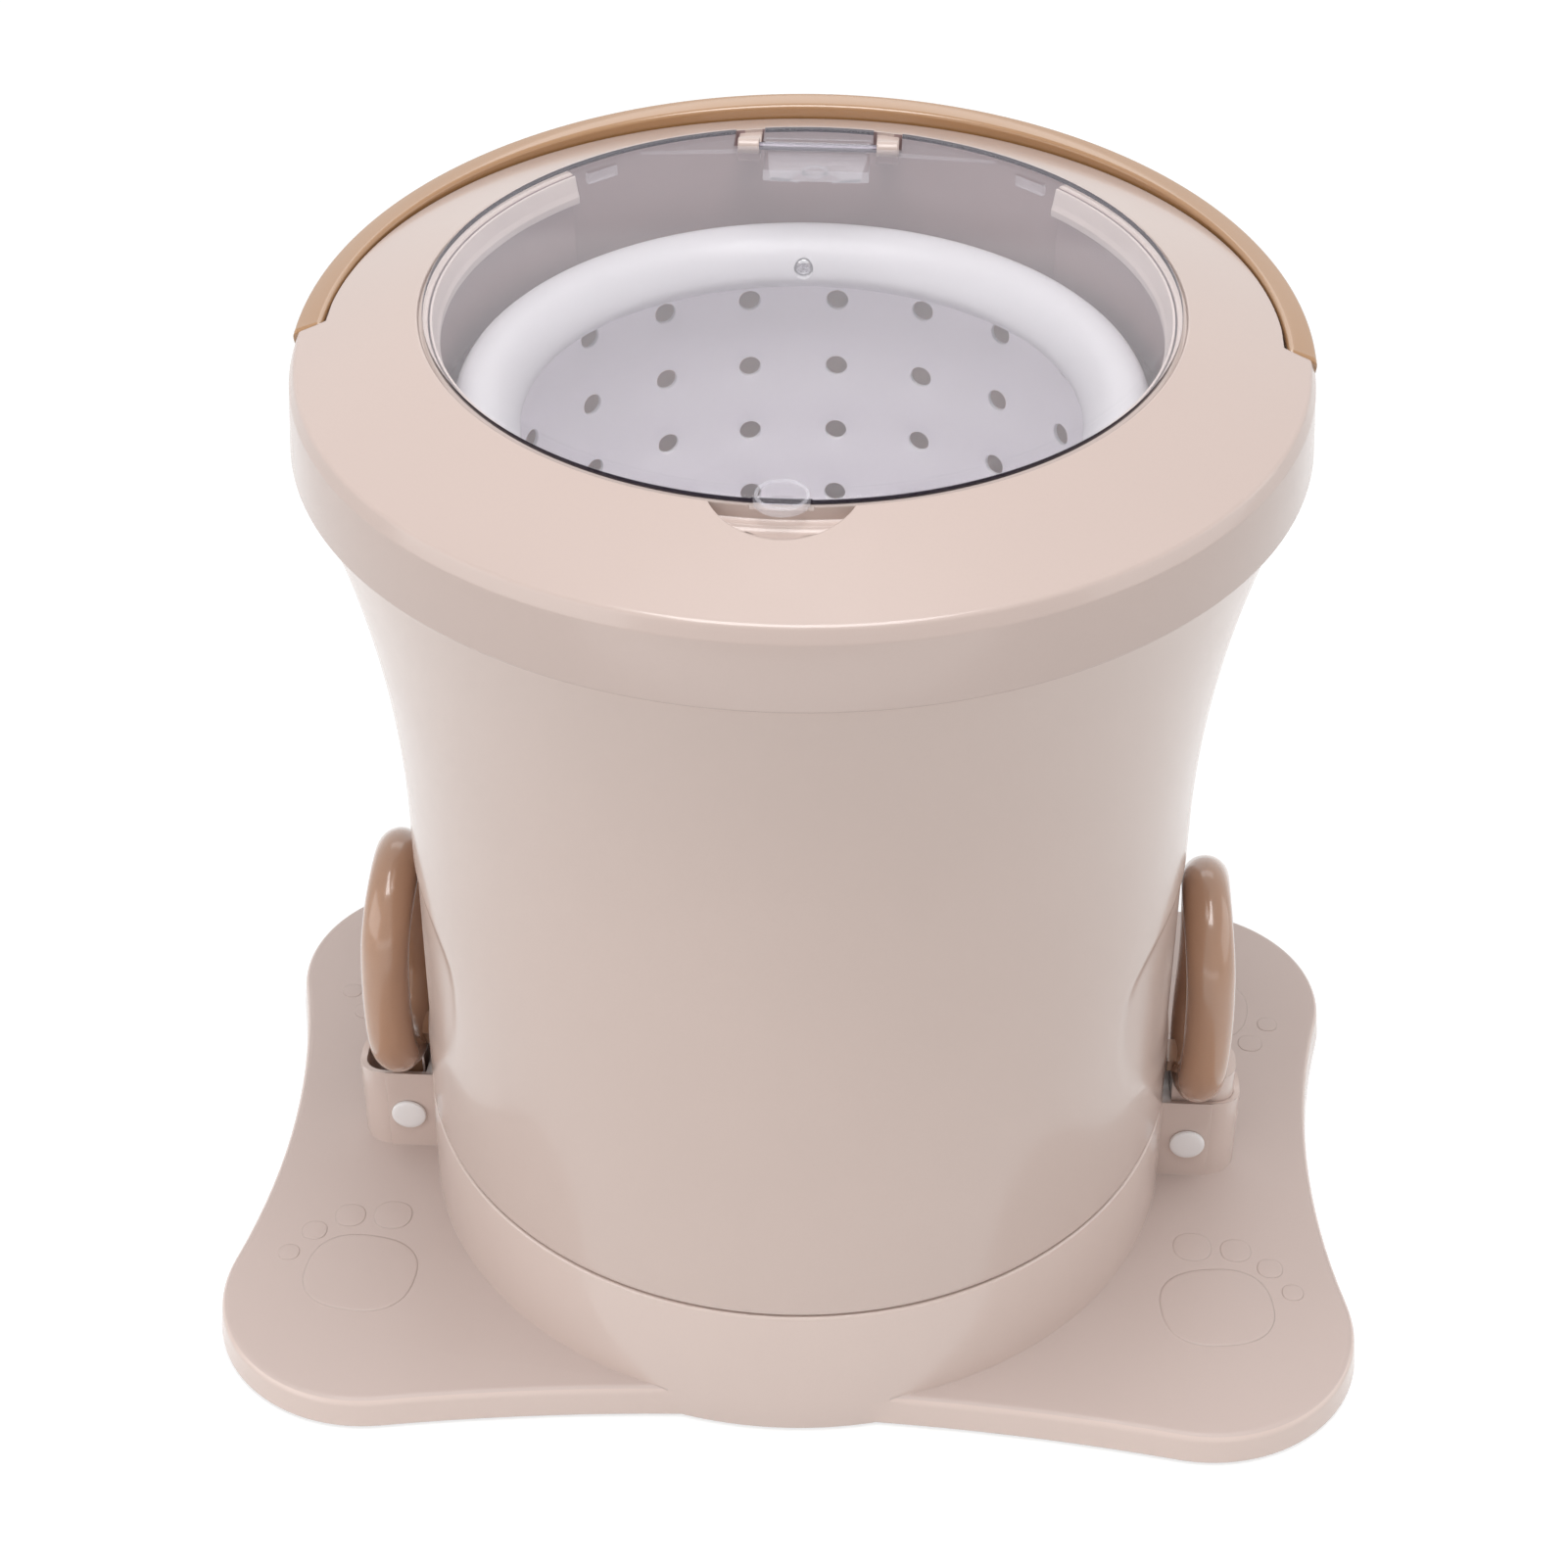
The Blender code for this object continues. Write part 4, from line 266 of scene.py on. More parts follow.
def side_block(side, near, far, low, high, edge=0.0):
    """Block on one side, from near to far in x and from low to high in (y, z)."""
    start, end = span(side, near, far)
    return block((start, *low), (end, *high), edge)


def swept(path, radius, sides, across, closed=False):
    """Round tube along a smooth path. across is a direction that the path never runs along."""
    points = [Vector(point) for point in path]
    count = len(points)
    rings = []
    for k in range(count):
        before = points[k - 1] if closed or k > 0 else points[k]
        after = points[(k + 1) % count] if closed or k < count - 1 else points[k]
        along = (after - before).normalized()
        side = along.cross(Vector(across)).normalized()
        up = side.cross(along)
        ring = []
        for j in range(sides):
            angle = 2 * math.pi * j / sides
            ring.append(points[k] + radius * (math.cos(angle) * side + math.sin(angle) * up))
        rings.append(ring)
    return lofted(rings, closed)


def rotated(bm, degrees, axis, centre=(0, 0, 0)):
    turn = Matrix.Rotation(math.radians(degrees), 3, axis)
    bmesh.ops.rotate(bm, verts=bm.verts, cent=centre, matrix=turn)
    return bm


def moved(bm, offset):
    bmesh.ops.translate(bm, verts=bm.verts, vec=offset)
    return bm


def merged(*parts):
    """Several bmeshes as one, left as separate shells."""
    whole = parts[0]
    for part in parts[1:]:
        mesh = bpy.data.meshes.new("part")
        part.to_mesh(mesh)
        part.free()
        whole.from_mesh(mesh)
        bpy.data.meshes.remove(mesh)
    return whole


def rod_along(axis, radius, low, high, centre, sides=48, edge=0.0):
    """Round bar along X or Y with rounded ends. centre gives the other two coordinates."""
    profile = rounded([(0, low, 0), (radius, low, edge), (radius, high, edge), (0, high, 0)])
    bm = turned(profile, sides)
    if axis == "X":
        rotated(bm, 90, "Y")
        moved(bm, (0, centre[0], centre[1]))
    elif axis == "Y":
        rotated(bm, -90, "X")
        moved(bm, (centre[0], 0, centre[1]))
    else:
        moved(bm, (centre[0], centre[1], 0))
    return bm


def add(bm):
    return "UNION", bm


def cut(bm):
    return "DIFFERENCE", bm


def carved(piece, steps):
    """Run a list of add and cut steps on a piece and keep the result in its mesh."""
    tools = []
    for k, (operation, bm) in enumerate(steps):
        tool = object_from(piece.name + "_tool" + str(k), bm, [])
        step = piece.modifiers.new("step" + str(k), "BOOLEAN")
        step.operation = operation
        step.object = tool
        step.solver = "EXACT"
        tools.append(tool)
    bpy.context.view_layer.update()
    graph = bpy.context.evaluated_depsgraph_get()
    mesh = bpy.data.meshes.new_from_object(piece.evaluated_get(graph))
    piece.modifiers.clear()
    old = piece.data
    piece.data = mesh
    mesh.name = piece.name
    bpy.data.meshes.remove(old)
    for tool in tools:
        data = tool.data
        bpy.data.objects.remove(tool, do_unlink=True)
        bpy.data.meshes.remove(data)
    clean(mesh)


def clean(mesh):
    """Weld what a Boolean left nearly touching, and set the shading."""
    bm = bmesh.new()
    bm.from_mesh(mesh)
    bmesh.ops.remove_doubles(bm, verts=bm.verts, dist=2e-6)
    bmesh.ops.dissolve_degenerate(bm, edges=bm.edges, dist=1e-6)
    bm.to_mesh(mesh)
    bm.free()
    mesh.shade_smooth()
    mesh.set_sharp_from_angle(angle=math.radians(SHARP_ANGLE))


# Materials

def fill(tree, socket, value):
    """Link another node's socket to this input, or set the input to a value."""
    if isinstance(value, bpy.types.NodeSocket):
        tree.links.new(value, socket)
    else:
        socket.default_value = value


def put(tree, shader, **values):
    """Fill several inputs. Base_Color stands for the input Base Color."""
    for name, value in values.items():
        fill(tree, shader.inputs[name.replace("_", " ")], value)


def node(tree, kind, **values):
    made = tree.nodes.new("ShaderNode" + kind)
    put(tree, made, **values)
    return made


def new_look(name):
    """New material, with its tree, its shader and its object coordinates."""
    made = bpy.data.materials.new(name)
    made.use_nodes = True
    tree = made.node_tree
    return made, tree, tree.nodes["Principled BSDF"], node(tree, "TexCoord").outputs["Object"]


def noise(tree, coords, scale, detail=3.0, rough=0.5, stretch=None):
    if stretch:
        coords = node(tree, "Mapping", Scale=stretch, Vector=coords).outputs["Vector"]
    return node(tree, "TexNoise", Scale=scale, Detail=detail, Roughness=rough, Vector=coords).outputs["Fac"]


def spread(tree, value, low, high, from_low=0.3, from_high=0.7):
    """Map a value onto low to high, held at both ends."""
    made = node(tree, "MapRange", Value=value, From_Min=from_low, From_Max=from_high,
                To_Min=low, To_Max=high)
    return made.outputs["Result"]


def mixed(tree, share, first, second):
    """Blend two colours. Either may be a socket or a colour."""
    made = tree.nodes.new("ShaderNodeMix")
    made.data_type = "RGBA"
    tree.links.new(share, made.inputs["Factor"])
    for letter, value in (("A", first), ("B", second)):
        socket = [s for s in made.inputs if s.name == letter and s.type == "RGBA"][0]
        fill(tree, socket, (*value, 1.0) if isinstance(value, tuple) else value)
    return [s for s in made.outputs if s.type == "RGBA"][0]


def maths(tree, operation, first, second):
    made = tree.nodes.new("ShaderNodeMath")
    made.operation = operation
    made.use_clamp = operation == "MULTIPLY"
    fill(tree, made.inputs[0], first)
    fill(tree, made.inputs[1], second)
    return made.outputs["Value"]


def bumped(tree, height, depth, **under):
    """Normal of a surface raised by a depth in millimetres, over the normal given as Normal."""
    made = node(tree, "Bump", Strength=1.0, Distance=depth * MM, Height=height, **under)
    return made.outputs["Normal"]


def scaled(colour, share):
    return tuple(min(1.0, c * share) for c in colour)


def plastic(name, colour, roughness, grain=900.0, grain_depth=0.010, wave_depth=0.03, coat=0.0,
            edge=0.6, tint=0.03, specular=0.5):
    """Moulded plastic: slow tone drift, fine grain, orange peel, and duller edges with a painted highlight
    that makes them paler.
    """
    made, tree, shader, coords = new_look(name)
    drift = spread(tree, noise(tree, coords, 9.0, 2.0), 0.0, 1.0)
    base = mixed(tree, drift, scaled(colour, 1 - tint), scaled(colour, 1 + tint))
    speck = spread(tree, noise(tree, coords, grain * 1.3, 1.0, 0.5), 0.0, 0.30, 0.45, 0.75)
    base = mixed(tree, speck, base, scaled(colour, 1 - 2 * tint))
    rounding = node(tree, "Bevel", Radius=edge * MM)
    rounding.samples = 4
    soft_normal = rounding.outputs["Normal"]
    likeness = node(tree, "VectorMath")
    likeness.operation = "DOT_PRODUCT"
    fill(tree, likeness.inputs[0], soft_normal)
    fill(tree, likeness.inputs[1], node(tree, "NewGeometry").outputs["Normal"])
    # Rounded edges get, in patches, a paler colour, which is a painted highlight, and a rougher finish.
    painted_edge_highlight = spread(tree, likeness.outputs["Value"], 1.0, 0.0, 0.72, 0.97)
    patchy_edge_highlight = maths(tree, "MULTIPLY", painted_edge_highlight, spread(tree, noise(tree, coords, 60.0, 3.0), 0.25, 0.8))
    base = mixed(tree, patchy_edge_highlight, base, scaled(colour, 1.12))
    rough = spread(tree, noise(tree, coords, 28.0, 4.0, 0.6), roughness * 0.88, roughness * 1.14)
    rough = maths(tree, "ADD", rough, maths(tree, "MULTIPLY", patchy_edge_highlight, 0.12))
    peel = bumped(tree, noise(tree, coords, 140.0, 1.0), wave_depth, Normal=soft_normal)
    fine = bumped(tree, noise(tree, coords, grain, 2.0, 0.7), grain_depth, Normal=peel)
    put(tree, shader, Base_Color=base, Roughness=rough, Normal=fine, Specular_IOR_Level=specular,
        Coat_Weight=coat, Coat_Roughness=0.08)
    return made


def duller(made):
    """Glossy clear coat that fades out where the mesh carries the attribute dull."""
    tree = made.node_tree
    mask = node(tree, "Attribute")
    mask.attribute_name = "dull"
    coat = spread(tree, mask.outputs["Fac"], 0.40, 0.0, 0.0, 1.0)
    put(tree, tree.nodes["Principled BSDF"], Coat_Weight=coat)
    return made


def metal(name, colour, roughness):
    """Steel with fine drawn lines and slightly uneven polish."""
    made, tree, shader, coords = new_look(name)
    lines = noise(tree, coords, 260.0, 4.0, 0.7, (1.0, 1.0, 30.0))
    stain = spread(tree, noise(tree, coords, 35.0, 3.0), 0.0, 0.5)
    put(tree, shader, Base_Color=mixed(tree, stain, colour, scaled(colour, 0.78)), Metallic=1.0,
        Roughness=spread(tree, lines, roughness * 0.7, roughness * 1.4), Normal=bumped(tree, lines, 0.006))
    return made


def rubber(name, colour):
    """Dull rubber with a little dust on it."""
    made, tree, shader, coords = new_look(name)
    dust = spread(tree, noise(tree, coords, 70.0, 5.0, 0.65), 0.0, 0.6, 0.4, 0.75)
    put(tree, shader, Base_Color=mixed(tree, dust, colour, (0.09, 0.085, 0.08)),
        Roughness=spread(tree, noise(tree, coords, 300.0, 3.0), 0.68, 0.92),
        Normal=bumped(tree, noise(tree, coords, 700.0, 3.0), 0.05))
    return made


def clear(name, colour, alpha_face, alpha_edge, roughness=0.05, gloss=0.9):
    """Clear plastic seen as a thin tinted sheet that turns denser where it is seen edge on."""
    made, tree, shader, coords = new_look(name)
    haze = spread(tree, noise(tree, coords, 22.0, 4.0, 0.6), 0.0, 1.0)
    facing = node(tree, "LayerWeight", Blend=0.35).outputs["Facing"]
    dense = spread(tree, facing, alpha_face, alpha_edge, 0.35, 0.95)
    scuffs = spread(tree, noise(tree, coords, 240.0, 6.0, 0.7, (1.0, 6.0, 1.0)), 0.0, 0.05, 0.6, 0.8)
    polish = noise(tree, coords, 45.0, 4.0)
    put(tree, shader, Base_Color=mixed(tree, haze, colour, scaled(colour, 1.05)),
        Alpha=maths(tree, "ADD", dense, scuffs),
        Roughness=spread(tree, polish, roughness * 0.7, roughness * 1.6),
        Normal=bumped(tree, noise(tree, coords, 30.0, 1.0), 0.02),
        Specular_IOR_Level=gloss, Coat_Weight=gloss - 0.3, Coat_Roughness=0.03)
    return made


def make_looks():
    """Every look by its key. Plastics list roughness, grain scale, grain depth and wave depth."""
    return {
        # One beige plastic in several copies: the plate and the collar are painted darker (painted shade)
        # and the skirt paler (painted light) than the shell, for how light falls on each.
        "plate": plastic("plate_beige", (0.510, 0.420, 0.388), 0.46, 1500.0, 0.020, 0.010, tint=0.02),
        "skirt": plastic("skirt_beige_lit", (0.620, 0.508, 0.462), 0.23, 900.0, 0.004, 0.012,
                         coat=0.4, tint=0.015, specular=0.4),
        "shell": duller(plastic("shell_beige", (0.560, 0.455, 0.412), 0.23, 900.0, 0.003, 0.012,
                                tint=0.015, specular=0.25)),
        "collar": plastic("collar_beige", (0.510, 0.412, 0.375), 0.23, 900.0, 0.003, 0.012,
                          coat=0.3, tint=0.015, specular=0.4),
        # Much darker copy of the beige for the collar's inner wall: painted shade.
        "shaded_well": plastic("well_painted_shade", (0.300, 0.205, 0.200), 0.34, 900.0, 0.004, 0.015, tint=0.02),
        # Much paler copy of the beige for the barrel's inner wall, seen through the basket holes: painted
        # light.
        "lit_inner_wall": plastic("inner_wall_painted_light", (0.880, 0.680, 0.610), 0.40, 900.0, 0.004, 0.012, tint=0.015),
        "inside": plastic("rim_beige", (0.600, 0.510, 0.480), 0.40, 900.0, 0.006, 0.010, tint=0.02),
        "brown": plastic("ring_brown", (0.390, 0.218, 0.132), 0.22, 900.0, 0.003, 0.020, coat=0.8),
        "tan": plastic("handle_tan", (0.340, 0.180, 0.076), 0.23, 1200.0, 0.006, 0.010, coat=0.9, tint=0.02),
        "white": plastic("white_plastic", (0.585, 0.572, 0.602), 0.36, 1100.0, 0.006, 0.010, tint=0.012),
        # The drum's white is much paler than the rim's white plastic: painted light inside the basket.
        "drum": plastic("drum_white_lit", (0.960, 0.930, 0.975), 0.40, 1100.0, 0.006, 0.010, tint=0.012),
        "cap": plastic("cap_white", (0.830, 0.815, 0.820), 0.34, 1100.0, 0.004, 0.006, edge=0.3, tint=0.012),
        "nylon": plastic("nylon", (0.700, 0.680, 0.620), 0.50, 800.0, 0.010, 0.010),
        "steel": metal("steel", (0.62, 0.62, 0.64), 0.23),
        "dark_steel": metal("dark_steel", (0.20, 0.18, 0.21), 0.45),
        "bright": metal("spring_steel", (0.78, 0.78, 0.80), 0.16),
        "rubber": rubber("dark_rubber", (0.030, 0.030, 0.030)),
        "clear": clear("clear_plastic", (0.90, 0.88, 0.95), 0.075, 0.30),
        # Near-black, nearly opaque look for the lid's edge: painted shade for the dark line a clear edge
        # shows.
        "painted_dark_edge": clear("painted_dark_edge", (0.014, 0.009, 0.022), 0.97, 1.0, 0.10, 0.35),
        "clear_block": clear("clear_block", (0.80, 0.79, 0.85), 0.14, 0.60, gloss=0.45),
    }


# Foot plate

def plate_outline(offset):
    """Four convex corner arcs joined by four concave arcs, grown by offset."""
    waist_x, waist_y, lobe_x, lobe_y, lobe_r = 197.0, 133.0, 151.5, 90.0, 56.0
    near_x = waist_x - lobe_x
    near_y = waist_y - lobe_y
    side_r = (near_x ** 2 + lobe_y ** 2 - lobe_r ** 2) / (2 * (lobe_r - near_x))
    front_r = (near_y ** 2 + lobe_x ** 2 - lobe_r ** 2) / (2 * (lobe_r - near_y))
    side_x = waist_x + side_r
    front_y = waist_y + front_r
    side_turn = math.atan2(lobe_y, side_x - lobe_x)
    front_turn = math.atan2(lobe_x, front_y - lobe_y)
    quarter = []
    for k in range(8):
        angle = side_turn * k / 8
        reach = side_r - offset
        quarter.append((side_x - reach * math.cos(angle), reach * math.sin(angle)))
    quarter += arc(lobe_x, lobe_y, lobe_r + offset, -side_turn, math.pi / 2 + front_turn, 32)
    for k in range(1, 13):
        angle = front_turn * (1 - k / 12)
        reach = front_r - offset
        quarter.append((reach * math.sin(angle), front_y - reach * math.cos(angle)))
    left = [(-x, y) for x, y in reversed(quarter[:-1])]
    half = quarter + left
    return half + [(x, -y) for x, y in reversed(half[1:-1])]


def pocket_outline(side, inset, inner_x):
    """Box round the foot of a pull ring, with its two outer corners rounded."""
    half = 14.0 - inset
    outer = 168.0 - inset
    corner = 12.0 - inset
    points = [(inner_x, -half)] + arc(outer - corner, corner - half, corner, -math.pi / 2, 0, 8)
    points = points + [(x, -y) for x, y in reversed(points)]
    points = [(side * x, y) for x, y in points]
    return points if side > 0 else points[::-1]


def make_foot_plate(looks):
    top, edge, wall = PLATE_TOP_Z, 3.0, 3.0
    rings = [at_height(plate_outline(0.7), FOOT_Z), at_height(plate_outline(1.0), FOOT_Z + 0.5),
             at_height(plate_outline(0), top - edge)]
    for k in range(1, 8):
        angle = math.pi / 2 * k / 7
        outline = plate_outline(-edge * (1 - math.cos(angle)))
        rings.append(at_height(outline, top - edge + edge * math.sin(angle)))
    plate = object_from("foot_plate", lofted(rings), [looks["plate"]])
    skirt = rounded([(0, FOOT_Z, 0), (SKIRT_FOOT_R, FOOT_Z, 0.6), (SKIRT_FOOT_R, top, 0),
                     (BARREL_R, SEAM_Z, 1.1), (0, SEAM_Z, 0)])
    steps = [add(turned(skirt))]
    for side in SIDES:
        pocket = prism(pocket_outline(side, 0, BARREL_R - 1.4), top - 1.5, POCKET_TOP_Z)
        panel = side_block(side, 136.0, PIVOT_X + 8.0, (-14.45, top - 1.5), (-12.0, POCKET_TOP_Z), 0.3)
        saddle = rod_along("X", RING_HALF_Y + RING_WIRE_R + 2.2, *span(side, BARREL_R - 4, 174.0),
                           (0, RING_LOW_Z), 120)
        piece = object_from("pocket", pocket, [])
        carved(piece, [add(panel), cut(saddle)])
        shape = bmesh.new()
        shape.from_mesh(piece.data)
        bmesh.ops.scale(shape, vec=(1 / MM, 1 / MM, 1 / MM), verts=shape.verts)
        bpy.data.objects.remove(piece)
        steps.append(add(shape))
    steps += [cut(prism(plate_outline(-wall), -3.0, top - wall)),
              cut(rod_along("Z", SKIRT_FOOT_R - wall, -3.0, top - wall, (0, 0), 180))]
    bore_r, bore_top = BARREL_R - 2.8, SEAM_Z + 4
    bore = [(0, top), (bore_r, top), (bore_r, bore_top), (0, bore_top)]
    steps.append(cut(turned(bore, 180, 0.7)))
    for side in SIDES:
        steps += [cut(prism(pocket_outline(side, 2.5, 141.4), 21.5, POCKET_TOP_Z + 4)),
                  cut(rod_along("Y", 3.4, -18, 18, (side * PIVOT_X, PIVOT_Z), 48))]
    carved(plate, steps)
    plate.data.materials.append(looks["skirt"])
    for face in plate.data.polygons:
        z = face.center.z / MM
        # The plate's steep outer rim takes the paler skirt look: painted light on the plate's sides.
        rim = z < top - 0.6 and abs(face.normal.z) < 0.8
        face.material_index = 1 if rim or z > top + 0.8 else 0
    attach(plate, "root")
    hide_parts("base_plate")


def print_pad(cx, cy, half_x, half_y, lean, power=2.3):
    """One low cushion of the tread marks, with a soft edge, sunk into the plate."""
    lean_c, lean_s = math.cos(math.radians(lean)), math.sin(math.radians(lean))
    rings = []
    for share, lift in ((1.0, -0.3), (1.0, 0.0), (0.985, 0.55), (0.95, 0.85), (0.90, 1.0)):
        outline = []
        for k in range(64):
            angle = 2 * math.pi * k / 64
            c, s = math.cos(angle), math.sin(angle)
            reach = share * (abs(c) ** power + abs(s) ** power) ** (-1 / power)
            x, y = half_x * reach * c, half_y * reach * s
            outline.append((cx + x * lean_c - y * lean_s, cy + x * lean_s + y * lean_c))
        rings.append(at_height(outline, PLATE_TOP_Z + PAD_HEIGHT * lift))
    return lofted(rings)


def make_tread_marks(looks):
    """Raised foot marks on the four lobes: a ball pad and four toes each."""
    toes = ((-150.3, -52.8, 7.2), (-166.4, -53.8, 5.8), (-178.6, -62.4, 4.8), (-186.2, -74.2, 4.0))
    lobes = (("front_left", 1, 1), ("front_right", -1, 1), ("back_left", 1, -1), ("back_right", -1, -1))
    for word, flip_x, flip_y in lobes:
        parts = [print_pad(-158.0, -83.0, 20.8, 19.2, -8.0, power=2.5)]
        for x, y, radius in toes:
            parts.append(print_pad(x, y, radius, radius, 0.0))
        bm = merged(*parts)
        bmesh.ops.scale(bm, vec=(flip_x, flip_y, 1), verts=bm.verts)
        marks = object_from("tread_marks_" + word, bm, [looks["plate"]], "root")


# Barrel

def barrel_radius(z):
    """Outer radius: straight up to FLARE_Z, then an arc outwards."""
    if z <= FLARE_Z:
        return BARREL_R
    rise = z - FLARE_Z
    return BARREL_R + FLARE_R - math.sqrt(FLARE_R ** 2 - rise ** 2)


def recess_share(x, y, z):
    """How far a spot lies inside the hand recess behind each pull ring, from 0 outside to 1."""
    half, power = (58.0, 2.2) if z < RECESS_Z else (31.0, 3.5)
    across = math.degrees(math.atan2(abs(y), abs(x))) / 35.0
    away = (across ** power + (abs(z - RECESS_Z) / half) ** power) ** (1 / power)
    share = max(0.0, min(1.0, (1 - away) / 0.14))
    return share * share * (3 - 2 * share)


def make_barrel(looks):
    outer = rounded([(132.3, 20.0, 0), (135.0, 20.0, 0.4), (135.1, 57.6, 0), (137.5, 57.6, 0)])[:-2]
    outer += [(135.1, 57.9), (136.7, 57.75), (137.5, 57.95), (138.1, 58.4), (138.45, 59.0), (BARREL_R, 59.8)]
    z = 61.0
    while z < BARREL_TOP_Z - 1.3:
        outer.append((barrel_radius(z), z))
        z += 1.5 if 75.0 < z < 175.0 else 4.0
    top = barrel_radius(BARREL_TOP_Z)
    outer += [(top, BARREL_TOP_Z), (top, 340.3), (top - 0.4, 340.7), (top - 2.6, 340.7), (top - 3.0, 340.3)]
    inner = []
    z = 336.0
    while z > FLARE_Z:
        inner.append((barrel_radius(z) - BARREL_WALL, z))
        z -= 8.0
    inner += [(BARREL_R - BARREL_WALL, FLARE_Z), (132.5, 130.0), (132.1, 74.0), (131.2, 71.0), (129.1, 69.3),
              (127.0, 69.0), (35.3, 69.0), (35.3, 66.0), (132.1, 66.0)]
    bm = turned(outer + inner, 360)
    for vert in bm.verts:
        x, y, z = vert.co
        reach = math.hypot(x, y)
        if z > 60.0 and abs(reach - barrel_radius(z)) < 0.2:
            share = 1 - RECESS_DEPTH * recess_share(x, y, z) / reach
            vert.co.x *= share
            vert.co.y *= share
    barrel = object_from("barrel", bm, [looks["shell"], looks["lit_inner_wall"]])
    steps = [cut(side_block(side, 143.0, 126.0, (-7.5, 58.3), (7.5, 64.9))) for side in SIDES]
    steps.append(cut(rod_along("Y", 8.0, 122.0, 143.0, (0, 78.0), 48)))
    carved(barrel, steps)
    dull = barrel.data.attributes.new("dull", "FLOAT", "POINT")
    for vert, store in zip(barrel.data.vertices, dull.data):
        store.value = recess_share(*(vert.co / MM))
    for face in barrel.data.polygons:
        # Inner faces of the barrel get the paler copy of the beige: painted light in the gap behind the
        # basket.
        x, y, z = face.center / MM
        face.material_index = 1 if z > 66.5 and math.hypot(x, y) < barrel_radius(z) - 2.2 else 0
    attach(barrel, "barrel")
    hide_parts("barrel_shell", "barrel_flare")


# Collar

def top_face_z(radius):
    """Height of the collar's sloping top face."""
    share = (radius - SEAT_R) / (COLLAR_TOP_R - SEAT_R)
    return SEAT_RIM_Z + (COLLAR_TOP_Z - SEAT_RIM_Z) * share


def make_collar(looks):
    lip = barrel_radius(BARREL_TOP_Z) + 0.3
    profile = rounded([
        (lip, 336.6, 0.3), (166.6, 336.6, 0.9), (165.0, 359.6, 3.0), (COLLAR_TOP_R, COLLAR_TOP_Z, 2.2),
        (SEAT_R, SEAT_RIM_Z, 0.8), (SEAT_R, SEAT_Z, 0.3), (WELL_R, SEAT_Z, 0.6), (WELL_R, WELL_LOW_Z, 0.6),
        (125.4, WELL_LOW_Z, 0.6), (125.4, 375.9, 0), (160.4, 362.7, 0), (lip, 354.0, 0)])
    collar = object_from("collar_cover", turned(profile, 300), [looks["collar"], looks["shaded_well"]])
    filler = [(152.6, 351.0), (164.3, 351.0), (162.5, 362.5), (152.6, top_face_z(GUTTER_R) - 1.0)]
    steps = [add(turned(filler, 150, -2.26, 184.52))]
    for side in SIDES:
        steps.append(add(rod_along("X", 4.0, *span(side, 146.5, 153.5), HANDLE_AXIS, 48)))
    gutter = rounded([(GUTTER_R, GUTTER_Z, 0.6), (171.0, GUTTER_Z, 0), (171.0, CUTTER_TOP_Z, 0),
                      (GUTTER_R, CUTTER_TOP_Z, 0)])
    steps.append(cut(turned(gutter, 151, 1.85, 176.3)))
    for side in SIDES:
        steps += [cut(rod_along("X", 2.1, *span(side, 147.5, 166.6), HANDLE_AXIS, 32)),
                  cut(rod_along("X", 8.1, *span(side, 154.3, 168.6), HANDLE_AXIS, 90))]
    pad_in, pad_out, pad_low = 122.4, 137.2, 369.7
    pad = [(pad_in, pad_low), (pad_out, pad_low), (pad_out, top_face_z(pad_out) - 1.4),
           (pad_in, top_face_z(pad_in) - 1.4)]
    hollow = [(115.5, 331.0), (123.0, 331.0), (123.0, CUTTER_TOP_Z), (115.5, CUTTER_TOP_Z)]
    steps += [add(turned(pad, 30, -103.0, 26.0)), cut(finger_tool()),
              cut(block((-9.5, -124.0, SEAT_Z + 0.3), (9.5, -119.5, CUTTER_TOP_Z))),
              cut(turned(hollow, 61, 46.0, 88.0))]
    for side in SIDES:
        steps += [add(side_block(side, 20.0, 28.0, (106.7, 374.2), (124.0, 378.2), 0.5)),
                  add(rod_along("X", 2.8, *span(side, 20.3, 27.7), LID_AXIS, 40, 0.4))]
    steps.append(cut(rod_along("X", 1.6, -26.0, 26.0, LID_AXIS, 24)))
    carved(collar, steps)
    # The inner wall faces get the darker copy of the beige: painted shade inside the lid.
    for face in collar.data.polygons:
        x, y, z = face.center / MM
        wall = math.hypot(x, y) < (123.3 if y > 80.0 else WELL_R + 0.3)
        face.material_index = 1 if wall and z < SEAT_Z - 0.2 and abs(face.normal.z) < 0.5 else 0
    even_top(collar.data)
    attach(collar, "barrel")
    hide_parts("collar")


def even_top(mesh):
    """Shade the sloping top face by its true slope, because its faces are long."""
    slope = math.atan2(SEAT_RIM_Z - COLLAR_TOP_Z, COLLAR_TOP_R - SEAT_R)
    normals = [tuple(corner.vector) for corner in mesh.corner_normals]
    for face in mesh.polygons:
        if abs(face.normal.z - math.cos(slope)) > 0.004:
            continue
        for corner in face.loop_indices:
            x, y = mesh.vertices[mesh.loops[corner].vertex_index].co.xy / MM
            out = math.sin(slope) / math.hypot(x, y)
            normals[corner] = (x * out, y * out, math.cos(slope))
    mesh.normals_split_custom_set(normals)


